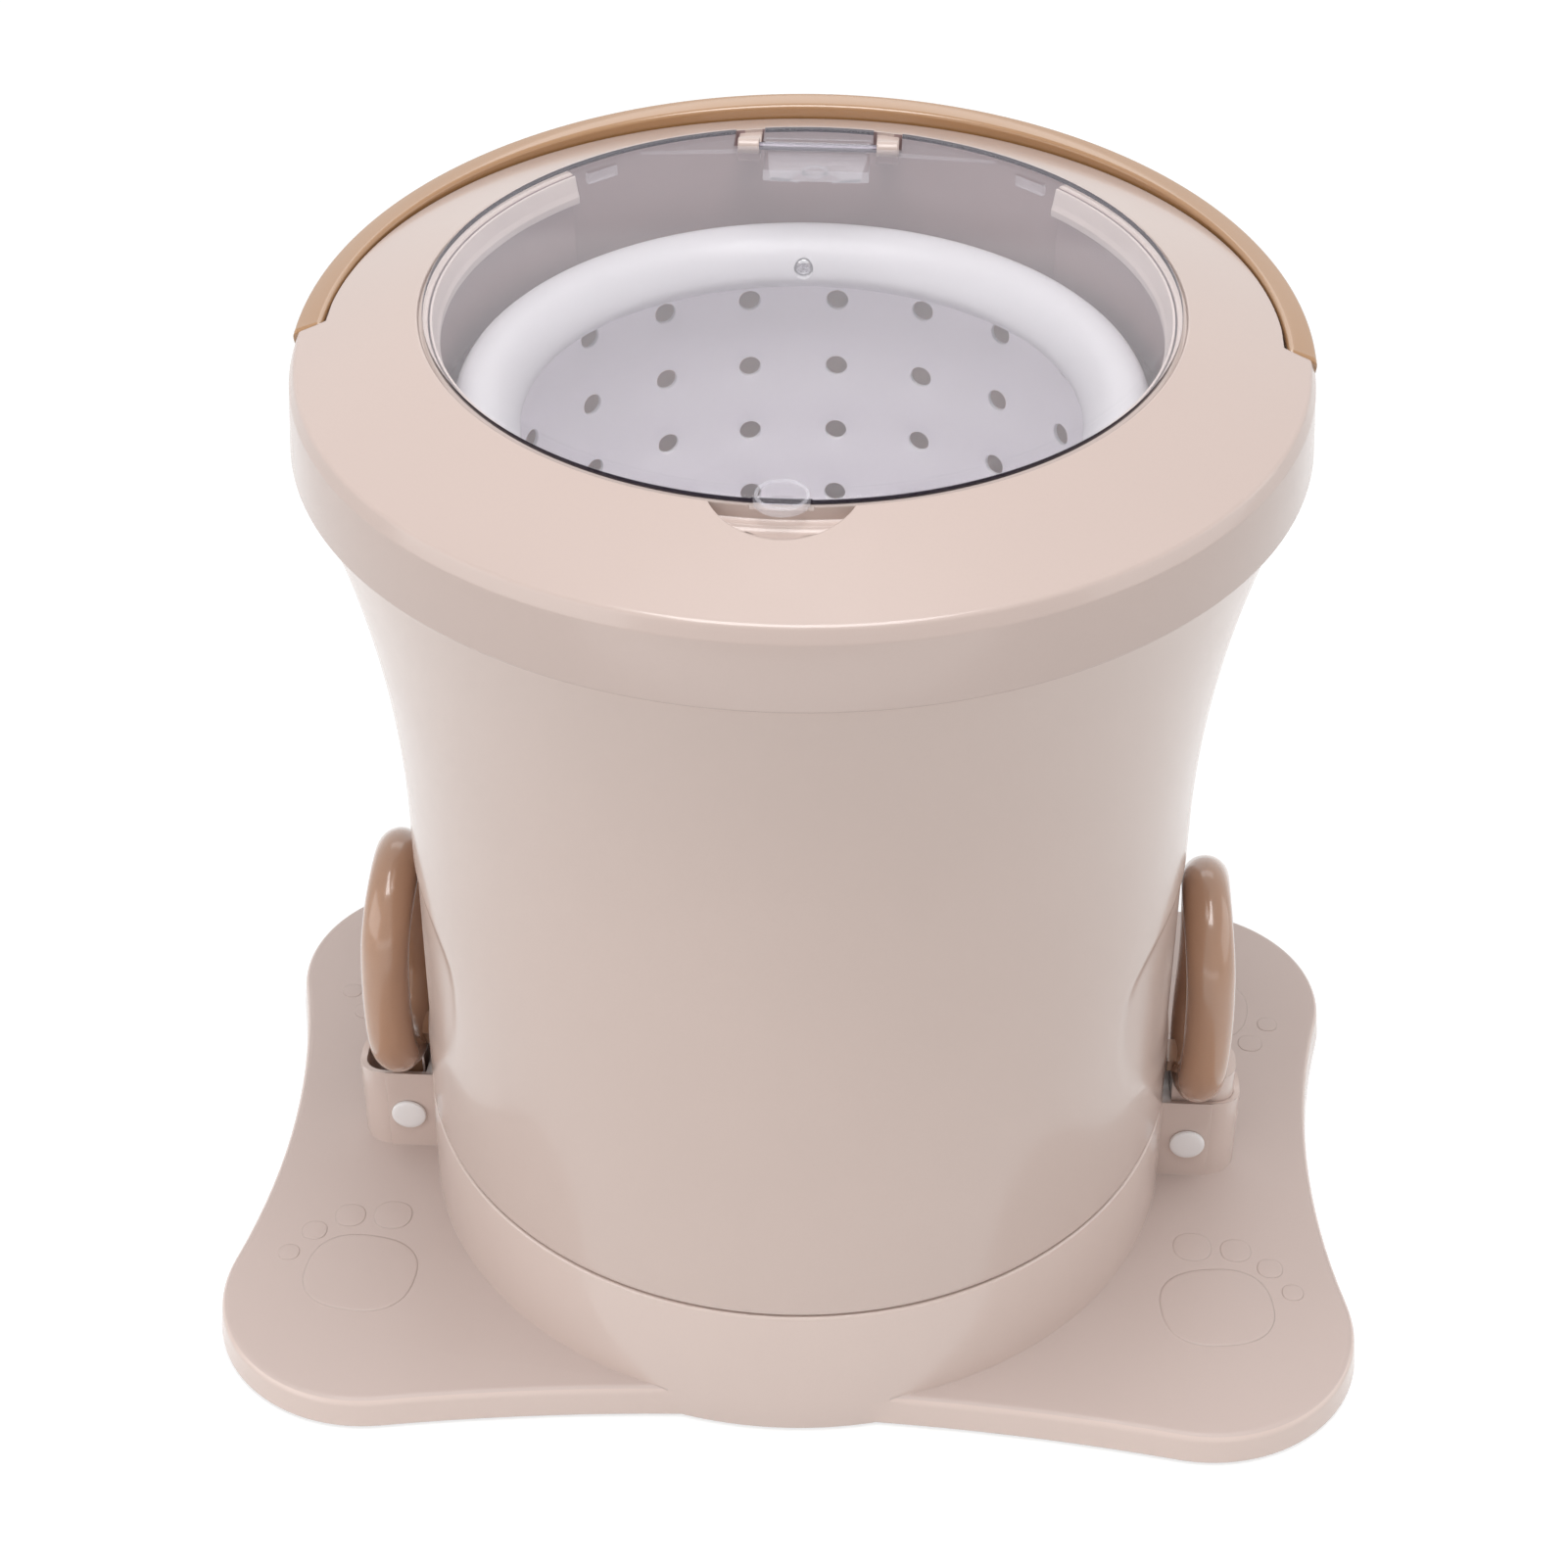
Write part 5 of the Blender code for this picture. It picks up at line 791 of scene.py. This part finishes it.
def finger_tool():
    """Dished crescent in front of the lid for a fingertip, shallow at its edge."""
    radius, centre_y, floor = 24.4, 110.0, 372.9
    inner = SEAT_R + 0.7
    drop = (inner ** 2 - centre_y ** 2 - radius ** 2) / (2 * centre_y)
    half_x = math.sqrt(radius ** 2 - drop ** 2)
    start = math.atan2(-drop, -half_x)
    finish = math.atan2(-drop, half_x)
    edge = math.asin(half_x / inner)
    outline = arc(0, -centre_y, radius, start, finish, 40)
    outline += arc(0, 0, inner, edge - math.pi / 2, -edge - math.pi / 2, 24)[1:-1]
    dish = ((4.2, floor), (3.3, floor + 0.35), (2.5, floor + 1.4), (0.5, floor + 1.75), (0.0, floor + 2.1),
            (0.0, CUTTER_TOP_Z))
    return lofted([at_height(inset_outline(outline, inset), z) for inset, z in dish])


def make_splash_rim(looks):
    low, high = 368.0, 377.6
    profile = rounded([(119.0, low, 0.3), (119.0, high, 0.3), (118.2, high, 0.3),
                       (116.9, 372.4, 1.0), (116.2, 370.6, 0.4), (116.2, low, 0.4)])
    rim = object_from("splash_ledge", turned(profile, 220, 134.0, 272.0), [looks["inside"]])
    carved(rim, [cut(block((-6.0, -124.0, 370.2), (6.0, -115.7, 382.0)))])
    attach(rim, "barrel")
    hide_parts("splash_rim")


# Carry handle

def handle_section(along, half_height):
    """Rounded section of the handle where its arc is this far back, cut to the height round the pivot."""
    pivot_y, pivot_z = HANDLE_AXIS
    rear = max(0.0, along) / HANDLE_OUT_R
    high_in = min(367.5 + 4.8 * rear, pivot_z + half_height)
    high_out = min(364.0 + 9.1 * rear, pivot_z + half_height)
    low = max(354.8, pivot_z - half_height)
    soft = min(1.5, (high_out - low) / 3)
    section = rounded([(HANDLE_IN_R, low, soft), (HANDLE_OUT_R, low, soft),
                       (HANDLE_OUT_R, high_out, soft), (HANDLE_IN_R, high_in, soft)])
    ring = []
    for reach, z in section:
        y = along * (reach / HANDLE_OUT_R if along > pivot_y else 1.0)
        ring.append((math.sqrt(max(0.0, reach ** 2 - y ** 2)), y, z))
    return ring


def make_handle(looks):
    pivot_y, end_r = HANDLE_AXIS[0], 7.6
    half = []
    for k in range(14):
        turn = math.radians(80.0 * (1 - k / 14))
        half.append(handle_section(pivot_y - end_r * math.sin(turn), end_r * math.cos(turn)))
    start = math.asin(pivot_y / HANDLE_OUT_R)
    for k in range(90):
        angle = start + (math.pi / 2 - start) * k / 90
        half.append(handle_section(HANDLE_OUT_R * math.sin(angle) if k else pivot_y, HANDLE_OUT_R))
    rear = handle_section(HANDLE_OUT_R, HANDLE_OUT_R)
    other = [[(-x, y, z) for x, y, z in ring] for ring in reversed(half)]
    handle = object_from("handle_arc", lofted(half + [rear] + other), [looks["tan"]])
    bores = [rod_along("X", 2.2, *span(side, 150.0, 159.9), HANDLE_AXIS, 32) for side in SIDES]
    carved(handle, [cut(bore) for bore in bores])
    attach(handle, "handle")
    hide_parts("carry_handle")


# Lid

def lid_height(radius):
    """Height of the lid's domed top."""
    return 381.2 + 1.5 * (1 - (radius / LID_R) ** 2)


def lid_disc():
    """Domed clear disc with a raised bead near its edge."""
    radii = [0.0] + list(np.linspace(8, 112, 24))
    radii += [114.5, 115.3, 116.0, 117.0, 117.8, 118.4, 119.2, 120.2, 120.9]
    top = [(r, lid_height(r) + 0.28 * math.exp(-((r - 117.6) / 1.1) ** 2)) for r in radii]
    top += [(121.2, 380.95), (LID_R, 380.6), (LID_R, 379.1), (121.15, 378.85)]
    under = [(r, lid_height(r) - 2.4) for r in reversed(radii[:-1])]
    return turned(top + under, 240)


def make_lid(looks):
    lid = object_from("lid_cover", lid_disc(), [looks["clear"], looks["painted_dark_edge"], looks["clear_block"]])
    steps = [add(rod_along("Z", 8.5, 378.85, 381.45, (0, -120.0), 72, 0.4)),
             add(block((-3.0, -118.5, 372.8), (3.0, -116.5, 380.0), 0.3)),
             add(block((-18.2, 90.0, 375.2), (18.2, LID_AXIS[0], 381.2), 0.5))]
    for angle in (50.5, 129.5):
        clip = block((114.5, -6.0, 374.8), (116.5, 6.0, 380.0), 0.3)
        steps.append(add(rotated(clip, angle, "Z")))
    for side in SIDES:
        steps.append(cut(side_block(side, 19.0, 29.0, (103.2, 374.0), (126.0, 386.0))))
    steps += [add(rod_along("X", 2.8, -18.2, 18.2, LID_AXIS, 40, 0.3)),
              cut(rod_along("X", 1.7, -22.0, 22.0, LID_AXIS, 24))]
    carved(lid, steps)
    for face in lid.data.polygons:
        x, y, z = face.center / MM
        rise = face.normal.z
        reach = math.hypot(x, y)
        if y < -121.5:
            face.material_index = 0 if rise > 0.6 else 2
        # The lower band of the lid's outer edge gets the near-black look: painted shade.
        elif reach > 120.7 and abs(rise) < 0.6 and z < 380.2:
            face.material_index = 1
        elif abs(x) < 18.4 and y > 89.0 and (z < 378.6 or abs(rise) < 0.6):
            face.material_index = 2
        elif z < 378.2 or (abs(rise) < 0.5 and reach > 110):
            face.material_index = 2
    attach(lid, "lid")
    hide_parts("lid")
    make_lid_details(looks)


def make_lid_details(looks):
    """Ridge round the tab, notched plate at the hinge with two tapering ribs, and the front edge's painted
    dark line.
    """
    ridge = rounded([(7.1, 381.2, 0), (8.1, 381.2, 0), (8.1, 381.9, 0.3), (7.1, 381.9, 0.3)], 3)
    low, high = 376.9, 378.3
    outline = [(-17.6, 107.6), (-15.4, 86.5), (-9.0, 86.5), (-6.5, 92.0)]
    outline += [(-x, y) for x, y in reversed(outline)]
    cup = [(3.6, low - 0.8), (4.6, low - 0.8), (4.6, low), (3.6, low)]
    parts = [moved(turned(ridge, 72), (0, -120.0, 0)),
             prism(rounded([(x, y, 0.6) for x, y in outline], 3), low, high, 0.4, 2),
             moved(turned(cup, 48), (-0.5, 95.5, 0))]
    for side in SIDES:
        rib = [(side * 18.0, 108.6), (side * 18.0, 107.2), (side * 61.5, 103.4), (side * 61.5, 103.8)]
        parts.append(prism(rib[::side], low + 0.4, high, 0.15, 2))
        stroke = rotated(block((-5.0, -0.55, low - 0.6), (5.0, 0.55, low), 0.2, 2), side * 12.0, "Z")
        parts.append(moved(stroke, (side * 10.5, 88.6, 0)))
    details = object_from("lid_details", merged(*parts), [looks["clear_block"], looks["clear"]], "lid")
    for face in details.data.polygons:
        face.material_index = 1 if low - 0.05 < face.center.z / MM < high + 0.05 else 0
    # Thin near-black band across the tab, carrying the painted dark edge line on.
    line = turned([(121.0, 379.2), (121.4, 379.2), (121.4, 380.8), (121.0, 380.8)], 12, 265.8, 8.4)
    object_from("lid_edge_line", line, [looks["painted_dark_edge"]], "lid")


# Basket

def basket_angle(column):
    return math.radians(BASKET_TURN + 360.0 * column / BASKET_COLUMNS)


def basket_angles():
    """Angles of the points round the basket, CELL_STEPS for each column of holes."""
    cell = 2 * math.pi / BASKET_COLUMNS
    return [basket_angle(column) - cell / 2 + cell * j / CELL_STEPS
            for column in range(BASKET_COLUMNS) for j in range(CELL_STEPS)]


def basket_wall(bm, radius, sink):
    """Cylinder wall with round holes, their edges sunk by sink. Gives the holes, top ring and low ring."""
    cell = 2 * math.pi / BASKET_COLUMNS
    rows_z = [HOLE_TOP_Z - HOLE_PITCH * k for k in range(HOLE_ROWS)]
    levels = [326.5] + [z - HOLE_PITCH / 2 for z in rows_z]
    known = {}

    def point(angle, z):
        ident = (round(angle % (2 * math.pi), 6) % round(2 * math.pi, 6), round(z, 4))
        if ident not in known:
            known[ident] = bm.verts.new((radius * math.cos(angle), radius * math.sin(angle), z))
        return known[ident]

    holes = []
    for column in range(BASKET_COLUMNS):
        middle = basket_angle(column)
        left, right = middle - cell / 2, middle + cell / 2
        for k, z in enumerate(rows_z):
            high, low = levels[k], levels[k + 1]
            border = []
            for start_a, start_z, run, rise in ((left, low, cell, 0), (right, low, 0, high - low),
                                                (right, high, -cell, 0), (left, high, 0, low - high)):
                for j in range(CELL_STEPS):
                    border.append((start_a + run * j / CELL_STEPS, start_z + rise * j / CELL_STEPS))
            outside = [point(*spot) for spot in border]
            lip, hole = [], []
            for angle, height in border:
                turn = math.atan2(height - z, (angle - middle) * radius)
                for store, size, reach in ((lip, HOLE_R + 0.7, radius), (hole, HOLE_R, radius + sink)):
                    spot = middle + size * math.cos(turn) / radius
                    rise = size * math.sin(turn)
                    store.append(bm.verts.new((reach * math.cos(spot), reach * math.sin(spot), z + rise)))
            bridge(bm, outside, lip)
            bridge(bm, lip, hole)
            holes.append(hole)
    top, low = [[point(angle, z) for angle in basket_angles()] for z in (levels[0], levels[-1])]
    return holes, top, low


def make_basket(looks):
    bm = bmesh.new()
    out_holes, out_top, out_low = basket_wall(bm, BASKET_R, -0.35)
    in_holes, in_top, in_low = basket_wall(bm, BASKET_R - BASKET_WALL, 0.35)
    for out_hole, in_hole in zip(out_holes, in_holes):
        bridge(bm, out_hole, in_hole)
    bridge(bm, out_top, in_top)
    outside = [(BASKET_R, 160.0), (BASKET_R, 104.0), (111.4, 101.0), (109.5, 98.4), (107.0, 97.2),
               (104.0, 97.0), (34.0, 97.0), (31.8, 98.0), (31.0, 100.0), (13.0, 227.0)]
    inside = [(110.0, 160.0), (110.0, 106.0), (109.4, 103.0), (107.6, 100.6), (105.0, 99.4), (102.0, 99.0),
              (40.0, 99.0), (37.0, 99.6), (34.8, 101.4), (33.6, 104.5), (16.4, 226.0), (15.6, 230.2),
              (13.8, 233.4), (10.0, 236.0), (5.0, 237.0)]
    for last, path in ((out_low, outside), (in_low, inside)):
        for radius, z in path:
            ring = [bm.verts.new((radius * math.cos(a), radius * math.sin(a), z)) for a in basket_angles()]
            bridge(bm, last, ring)
            last = ring
        bm.faces.new(last)
    basket = object_from("basket_drum", bm, [looks["drum"]], "basket", 40)
    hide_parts("basket", "basket_column")


def make_balance_ring(looks):
    low, high, out_r, in_r = 326.8, 350.0, 114.0, 92.0
    shares = [(0, 0), (0, 0.55), (0.012, 0.70), (0.04, 0.82), (0.09, 0.905), (0.16, 0.965),
              (0.25, 0.995), (0.34, 1.0), (0.45, 0.985), (0.56, 0.955), (0.66, 0.905), (0.75, 0.835),
              (0.83, 0.75), (0.90, 0.66), (0.95, 0.57), (0.985, 0.49), (1.0, 0.42), (0.985, 0.36),
              (0.95, 0.32), (0.91, 0.29), (0.80, 0.20)]
    profile = [(110.0, low)] + [(out_r + (in_r - out_r) * a, low + (high - low) * b) for a, b in shares]
    ring = object_from("basket_rim", turned(profile, 240), [looks["white"]])
    steps = []
    for angle in RIM_SCREW_TURNS:
        for radius, start, end, sides in ((3.3, 88.0, 95.4, 40), (1.8, 94.0, 100.7, 24)):
            rod = rod_along("X", radius, start, end, (0, RIM_SCREW_Z), sides)
            steps.append(cut(rotated(rod, angle, "Z")))
    carved(ring, steps)
    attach(ring, "basket")
    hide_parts("basket_ring")
    for k, angle in enumerate(RIM_SCREW_TURNS):
        head = rounded([(0, 93.9, 0), (2.0, 94.0, 0.4), (3.0, 94.5, 0.3), (3.0, 95.1, 0), (1.5, 95.1, 0),
                        (1.5, 100.1, 0.3), (0, 100.1, 0)])
        bm = moved(rotated(turned(head, 40), 90, "Y"), (0, 0, RIM_SCREW_Z))
        screw = object_from("rim_screw_" + str(k + 1), bm, [looks["steel"]])
        carved(screw, [cut(block((93.0, -y, RIM_SCREW_Z - z), (94.7, y, RIM_SCREW_Z + z)))
                       for y, z in ((1.9, 0.42), (0.42, 1.9))])
        screw.data.transform(Matrix.Rotation(math.radians(angle), 4, "Z"))
        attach(screw, "basket")
        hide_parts("ring_screw_" + str(k + 1))


# Latches

def ring_x(z):
    """Where the bowed pull ring runs, out from the axis."""
    return 151.3 - (z - 92.0) ** 2 / 686.0


def make_latch(side, word, looks):
    points = []
    for way, start, finish in ((1, RING_HIGH_Z, RING_LOW_Z), (-1, RING_LOW_Z, RING_HIGH_Z)):
        reach = way * RING_HALF_Y
        points += arc(0, start, reach, 0, math.pi, 24)
        for k in range(1, 10):
            points.append((-reach, start + (finish - start) * k / 10))
    path = [(side * ring_x(z), y, z) for y, z in points]
    loop = swept(path, RING_WIRE_R, 40, (1, 0, 0), closed=True)
    ring = object_from("pull_ring_" + word, loop, [looks["brown"]])
    pivot_x = side * PIVOT_X
    outline = arc(pivot_x, PIVOT_Z, 6.0, math.pi, 2 * math.pi, 16)
    outline += [(pivot_x + 6.0, 58.0), (pivot_x - 6.0, 58.0)]
    tongue = rotated(prism(outline, -6.2, 6.2), 90, "X")
    nose = side_block(side, BARREL_R + 0.5, PIVOT_X, (-6.2, 59.0), (6.2, 64.0))
    bore = rod_along("Y", 3.4, -12.0, 12.0, (pivot_x, PIVOT_Z), 32)
    carved(ring, [add(tongue), add(nose), cut(bore)])
    body = "latch_" + word
    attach(ring, body)
    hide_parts("latch_ring_" + word)
    pin = object_from("hinge_pin_" + word, rod_along("Y", 3.0, -14.3, 14.0, (pivot_x, PIVOT_Z), 40, 0.4),
                      [looks["steel"]], "root")
    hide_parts("latch_pin_" + word)
    profile = [(0, 0), (6.3, 0), (6.6, 0.25), (6.6, 0.8), (6.4, 1.2), (5.9, 1.5), (5.0, 1.68), (3.5, 1.8),
               (1.8, 1.86), (0, 1.88)]
    cap = moved(rotated(turned(profile, 64), 90, "X"), (pivot_x, -14.6, PIVOT_Z))
    cap_piece = object_from("pocket_cap_" + word, cap, [looks["cap"]], "root")
    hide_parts("pin_cap_" + word)
    wire = swept(spring_path(side), 0.5, 10, (0, 1, 0))
    spring = object_from("return_spring_" + word, wire, [looks["bright"]], "root")
    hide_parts("latch_spring_" + word)


def spring_path(side):
    """Coil round the latch pin, ending in a straight leg up beside the barrel."""
    points = []
    coil_r, turns, per, leg_x = 4.3, 2.5, 24, 142.2
    for k in range(int(turns * per) + 1):
        turn = 2 * math.pi * k / per
        x, z = PIVOT_X + coil_r * math.cos(turn), PIVOT_Z - coil_r * math.sin(turn)
        points.append((side * x, -7.0 - 1.5 * k / per, z))
    y = points[-1][1]
    leg = ((leg_x + 0.6, PIVOT_Z + 3.0), (leg_x + 0.1, PIVOT_Z + 4.5), (leg_x, PIVOT_Z + 7.0),
           (leg_x, 52.0), (leg_x, 60.0))
    return points + [(side * x, y, z) for x, z in leg]


# Carried-over CAD nodes

def dress_nodes(frame, looks):
    """Give each CAD node that still shows the procedural look of its kind. The rest is nylon."""
    words_of = {
        "dark_steel": ("lid_pin",),
        "steel": ("screw", "rod", "race", "shaft", "drum", "roller", "pin"),
        "rubber": ("foot", "landing", "seal", "drain"),
        "plate": ("cover",),
    }
    for name, cad_node in frame["nodes"].items():
        fitting = [look for look, words in words_of.items() if any(word in name for word in words)]
        cad_node.data.materials.clear()
        cad_node.data.materials.append(looks[(fitting + ["nylon"])[0]])


# Stage, camera and light

def split_by_ray(tree, output_kind, plain, seen):
    """Show one shader to the camera, mirrors and glass, and the plain one to bounced light."""
    path = node(tree, "LightPath").outputs
    share = maths(tree, "MAXIMUM", path["Is Camera Ray"], path["Is Glossy Ray"])
    share = maths(tree, "MAXIMUM", share, path["Is Transmission Ray"])
    mix = node(tree, "MixShader")
    for socket, value in zip(mix.inputs, (share, plain.outputs[0], seen.outputs[0])):
        tree.links.new(value, socket)
    node(tree, output_kind, Surface=mix.outputs[0])


def stage_material(name, tone, shown, own):
    """Floor that keeps the shadow: tone for bounced light, shown with an own glow for the camera."""
    made = bpy.data.materials.new(name)
    made.use_nodes = True
    tree = made.node_tree
    tree.nodes.clear()
    plain = node(tree, "BsdfDiffuse", Color=(tone, tone, tone, 1))
    lit = node(tree, "BsdfDiffuse", Color=(shown, shown, shown, 1))
    glow = node(tree, "Emission", Color=(1, 1, 1, 1), Strength=own)
    both = node(tree, "AddShader")
    tree.links.new(lit.outputs[0], both.inputs[0])
    tree.links.new(glow.outputs[0], both.inputs[1])
    split_by_ray(tree, "OutputMaterial", plain, both)
    return made


def make_stage():
    bm = bmesh.new()
    bmesh.ops.create_grid(bm, x_segments=1, y_segments=1, size=6000.0)
    floor = object_from("floor", bm, [stage_material("floor_white", 0.75, 0.36, 0.71)])
    floor.location.z = -0.0002


def make_world():
    world = bpy.data.worlds.new("studio")
    bpy.context.scene.world = world
    world.use_nodes = True
    tree = world.node_tree
    tree.nodes.clear()
    seen = node(tree, "Background", Color=(1, 1, 1, 1), Strength=1.0)
    soft = node(tree, "Background", Color=(1.0, 0.985, 0.97, 1), Strength=0.45)
    split_by_ray(tree, "OutputWorld", soft, seen)


def lamp(name, at, aim_z, size, power, colour):
    """Rectangular area lamp, aimed at this height on the part's axis."""
    data = bpy.data.lights.new(name, "AREA")
    data.energy = power
    data.color = colour
    data.shape = "RECTANGLE"
    data.size, data.size_y = size
    made = bpy.data.objects.new(name, data)
    bpy.context.scene.collection.objects.link(made)
    made.location = at
    made.rotation_mode = "QUATERNION"
    made.rotation_quaternion = (Vector((0, 0, aim_z)) - Vector(at)).to_track_quat("-Z", "Y")


def make_lamps():
    lamp("left", (-1.9, -1.15, 0.80), 0.2, (2.4, 1.5), 17.5, (1.0, 0.985, 0.97))
    lamp("right", (2.0, -0.05, 0.65), 0.2, (2.2, 1.2), 8.8, (1.0, 0.99, 0.98))
    lamp("top", (0.0, -0.45, 2.3), 0.3, (1.3, 1.3), 38.0, (1.0, 0.99, 0.99))
    lamp("back", (0.0, 1.9, 1.6), 0.35, (2.0, 0.5), 3.5, (1.0, 0.99, 0.98))
    lamp("low", (0.0, -0.60, 0.07), 0.05, (1.0, 0.12), 0.30, (1.0, 0.99, 0.98))


def make_camera():
    turn, pitch, roll = [math.radians(angle) for angle in (CAMERA_TURN, CAMERA_PITCH, CAMERA_ROLL)]
    forward = Vector((-math.sin(turn) * math.cos(pitch), math.cos(turn) * math.cos(pitch), -math.sin(pitch)))
    right = Vector((math.cos(turn), math.sin(turn), 0))
    up = right.cross(forward)
    right_rolled = math.cos(roll) * right + math.sin(roll) * up
    up_rolled = -math.sin(roll) * right + math.cos(roll) * up
    data = bpy.data.cameras.new("camera")
    data.lens = LENS
    data.sensor_width = SENSOR
    data.sensor_fit = "HORIZONTAL"
    data.clip_start = 0.05
    data.clip_end = 50.0
    camera = bpy.data.objects.new("camera", data)
    bpy.context.scene.collection.objects.link(camera)
    axes = Matrix((right_rolled, up_rolled, -forward)).transposed()
    camera.matrix_world = Matrix.Translation(CAMERA_AT) @ axes.to_4x4()
    bpy.context.scene.camera = camera


def main():
    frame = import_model()
    bpy.context.scene.view_settings.view_transform = "Standard"
    looks = make_looks()
    dress_nodes(frame, looks)
    make_foot_plate(looks)
    make_tread_marks(looks)
    make_barrel(looks)
    make_collar(looks)
    make_splash_rim(looks)
    make_handle(looks)
    make_lid(looks)
    make_basket(looks)
    make_balance_ring(looks)
    for side, word in ((-1, "left"), (1, "right")):
        make_latch(side, word, looks)
    make_stage()
    make_world()
    make_lamps()
    make_camera()


main()
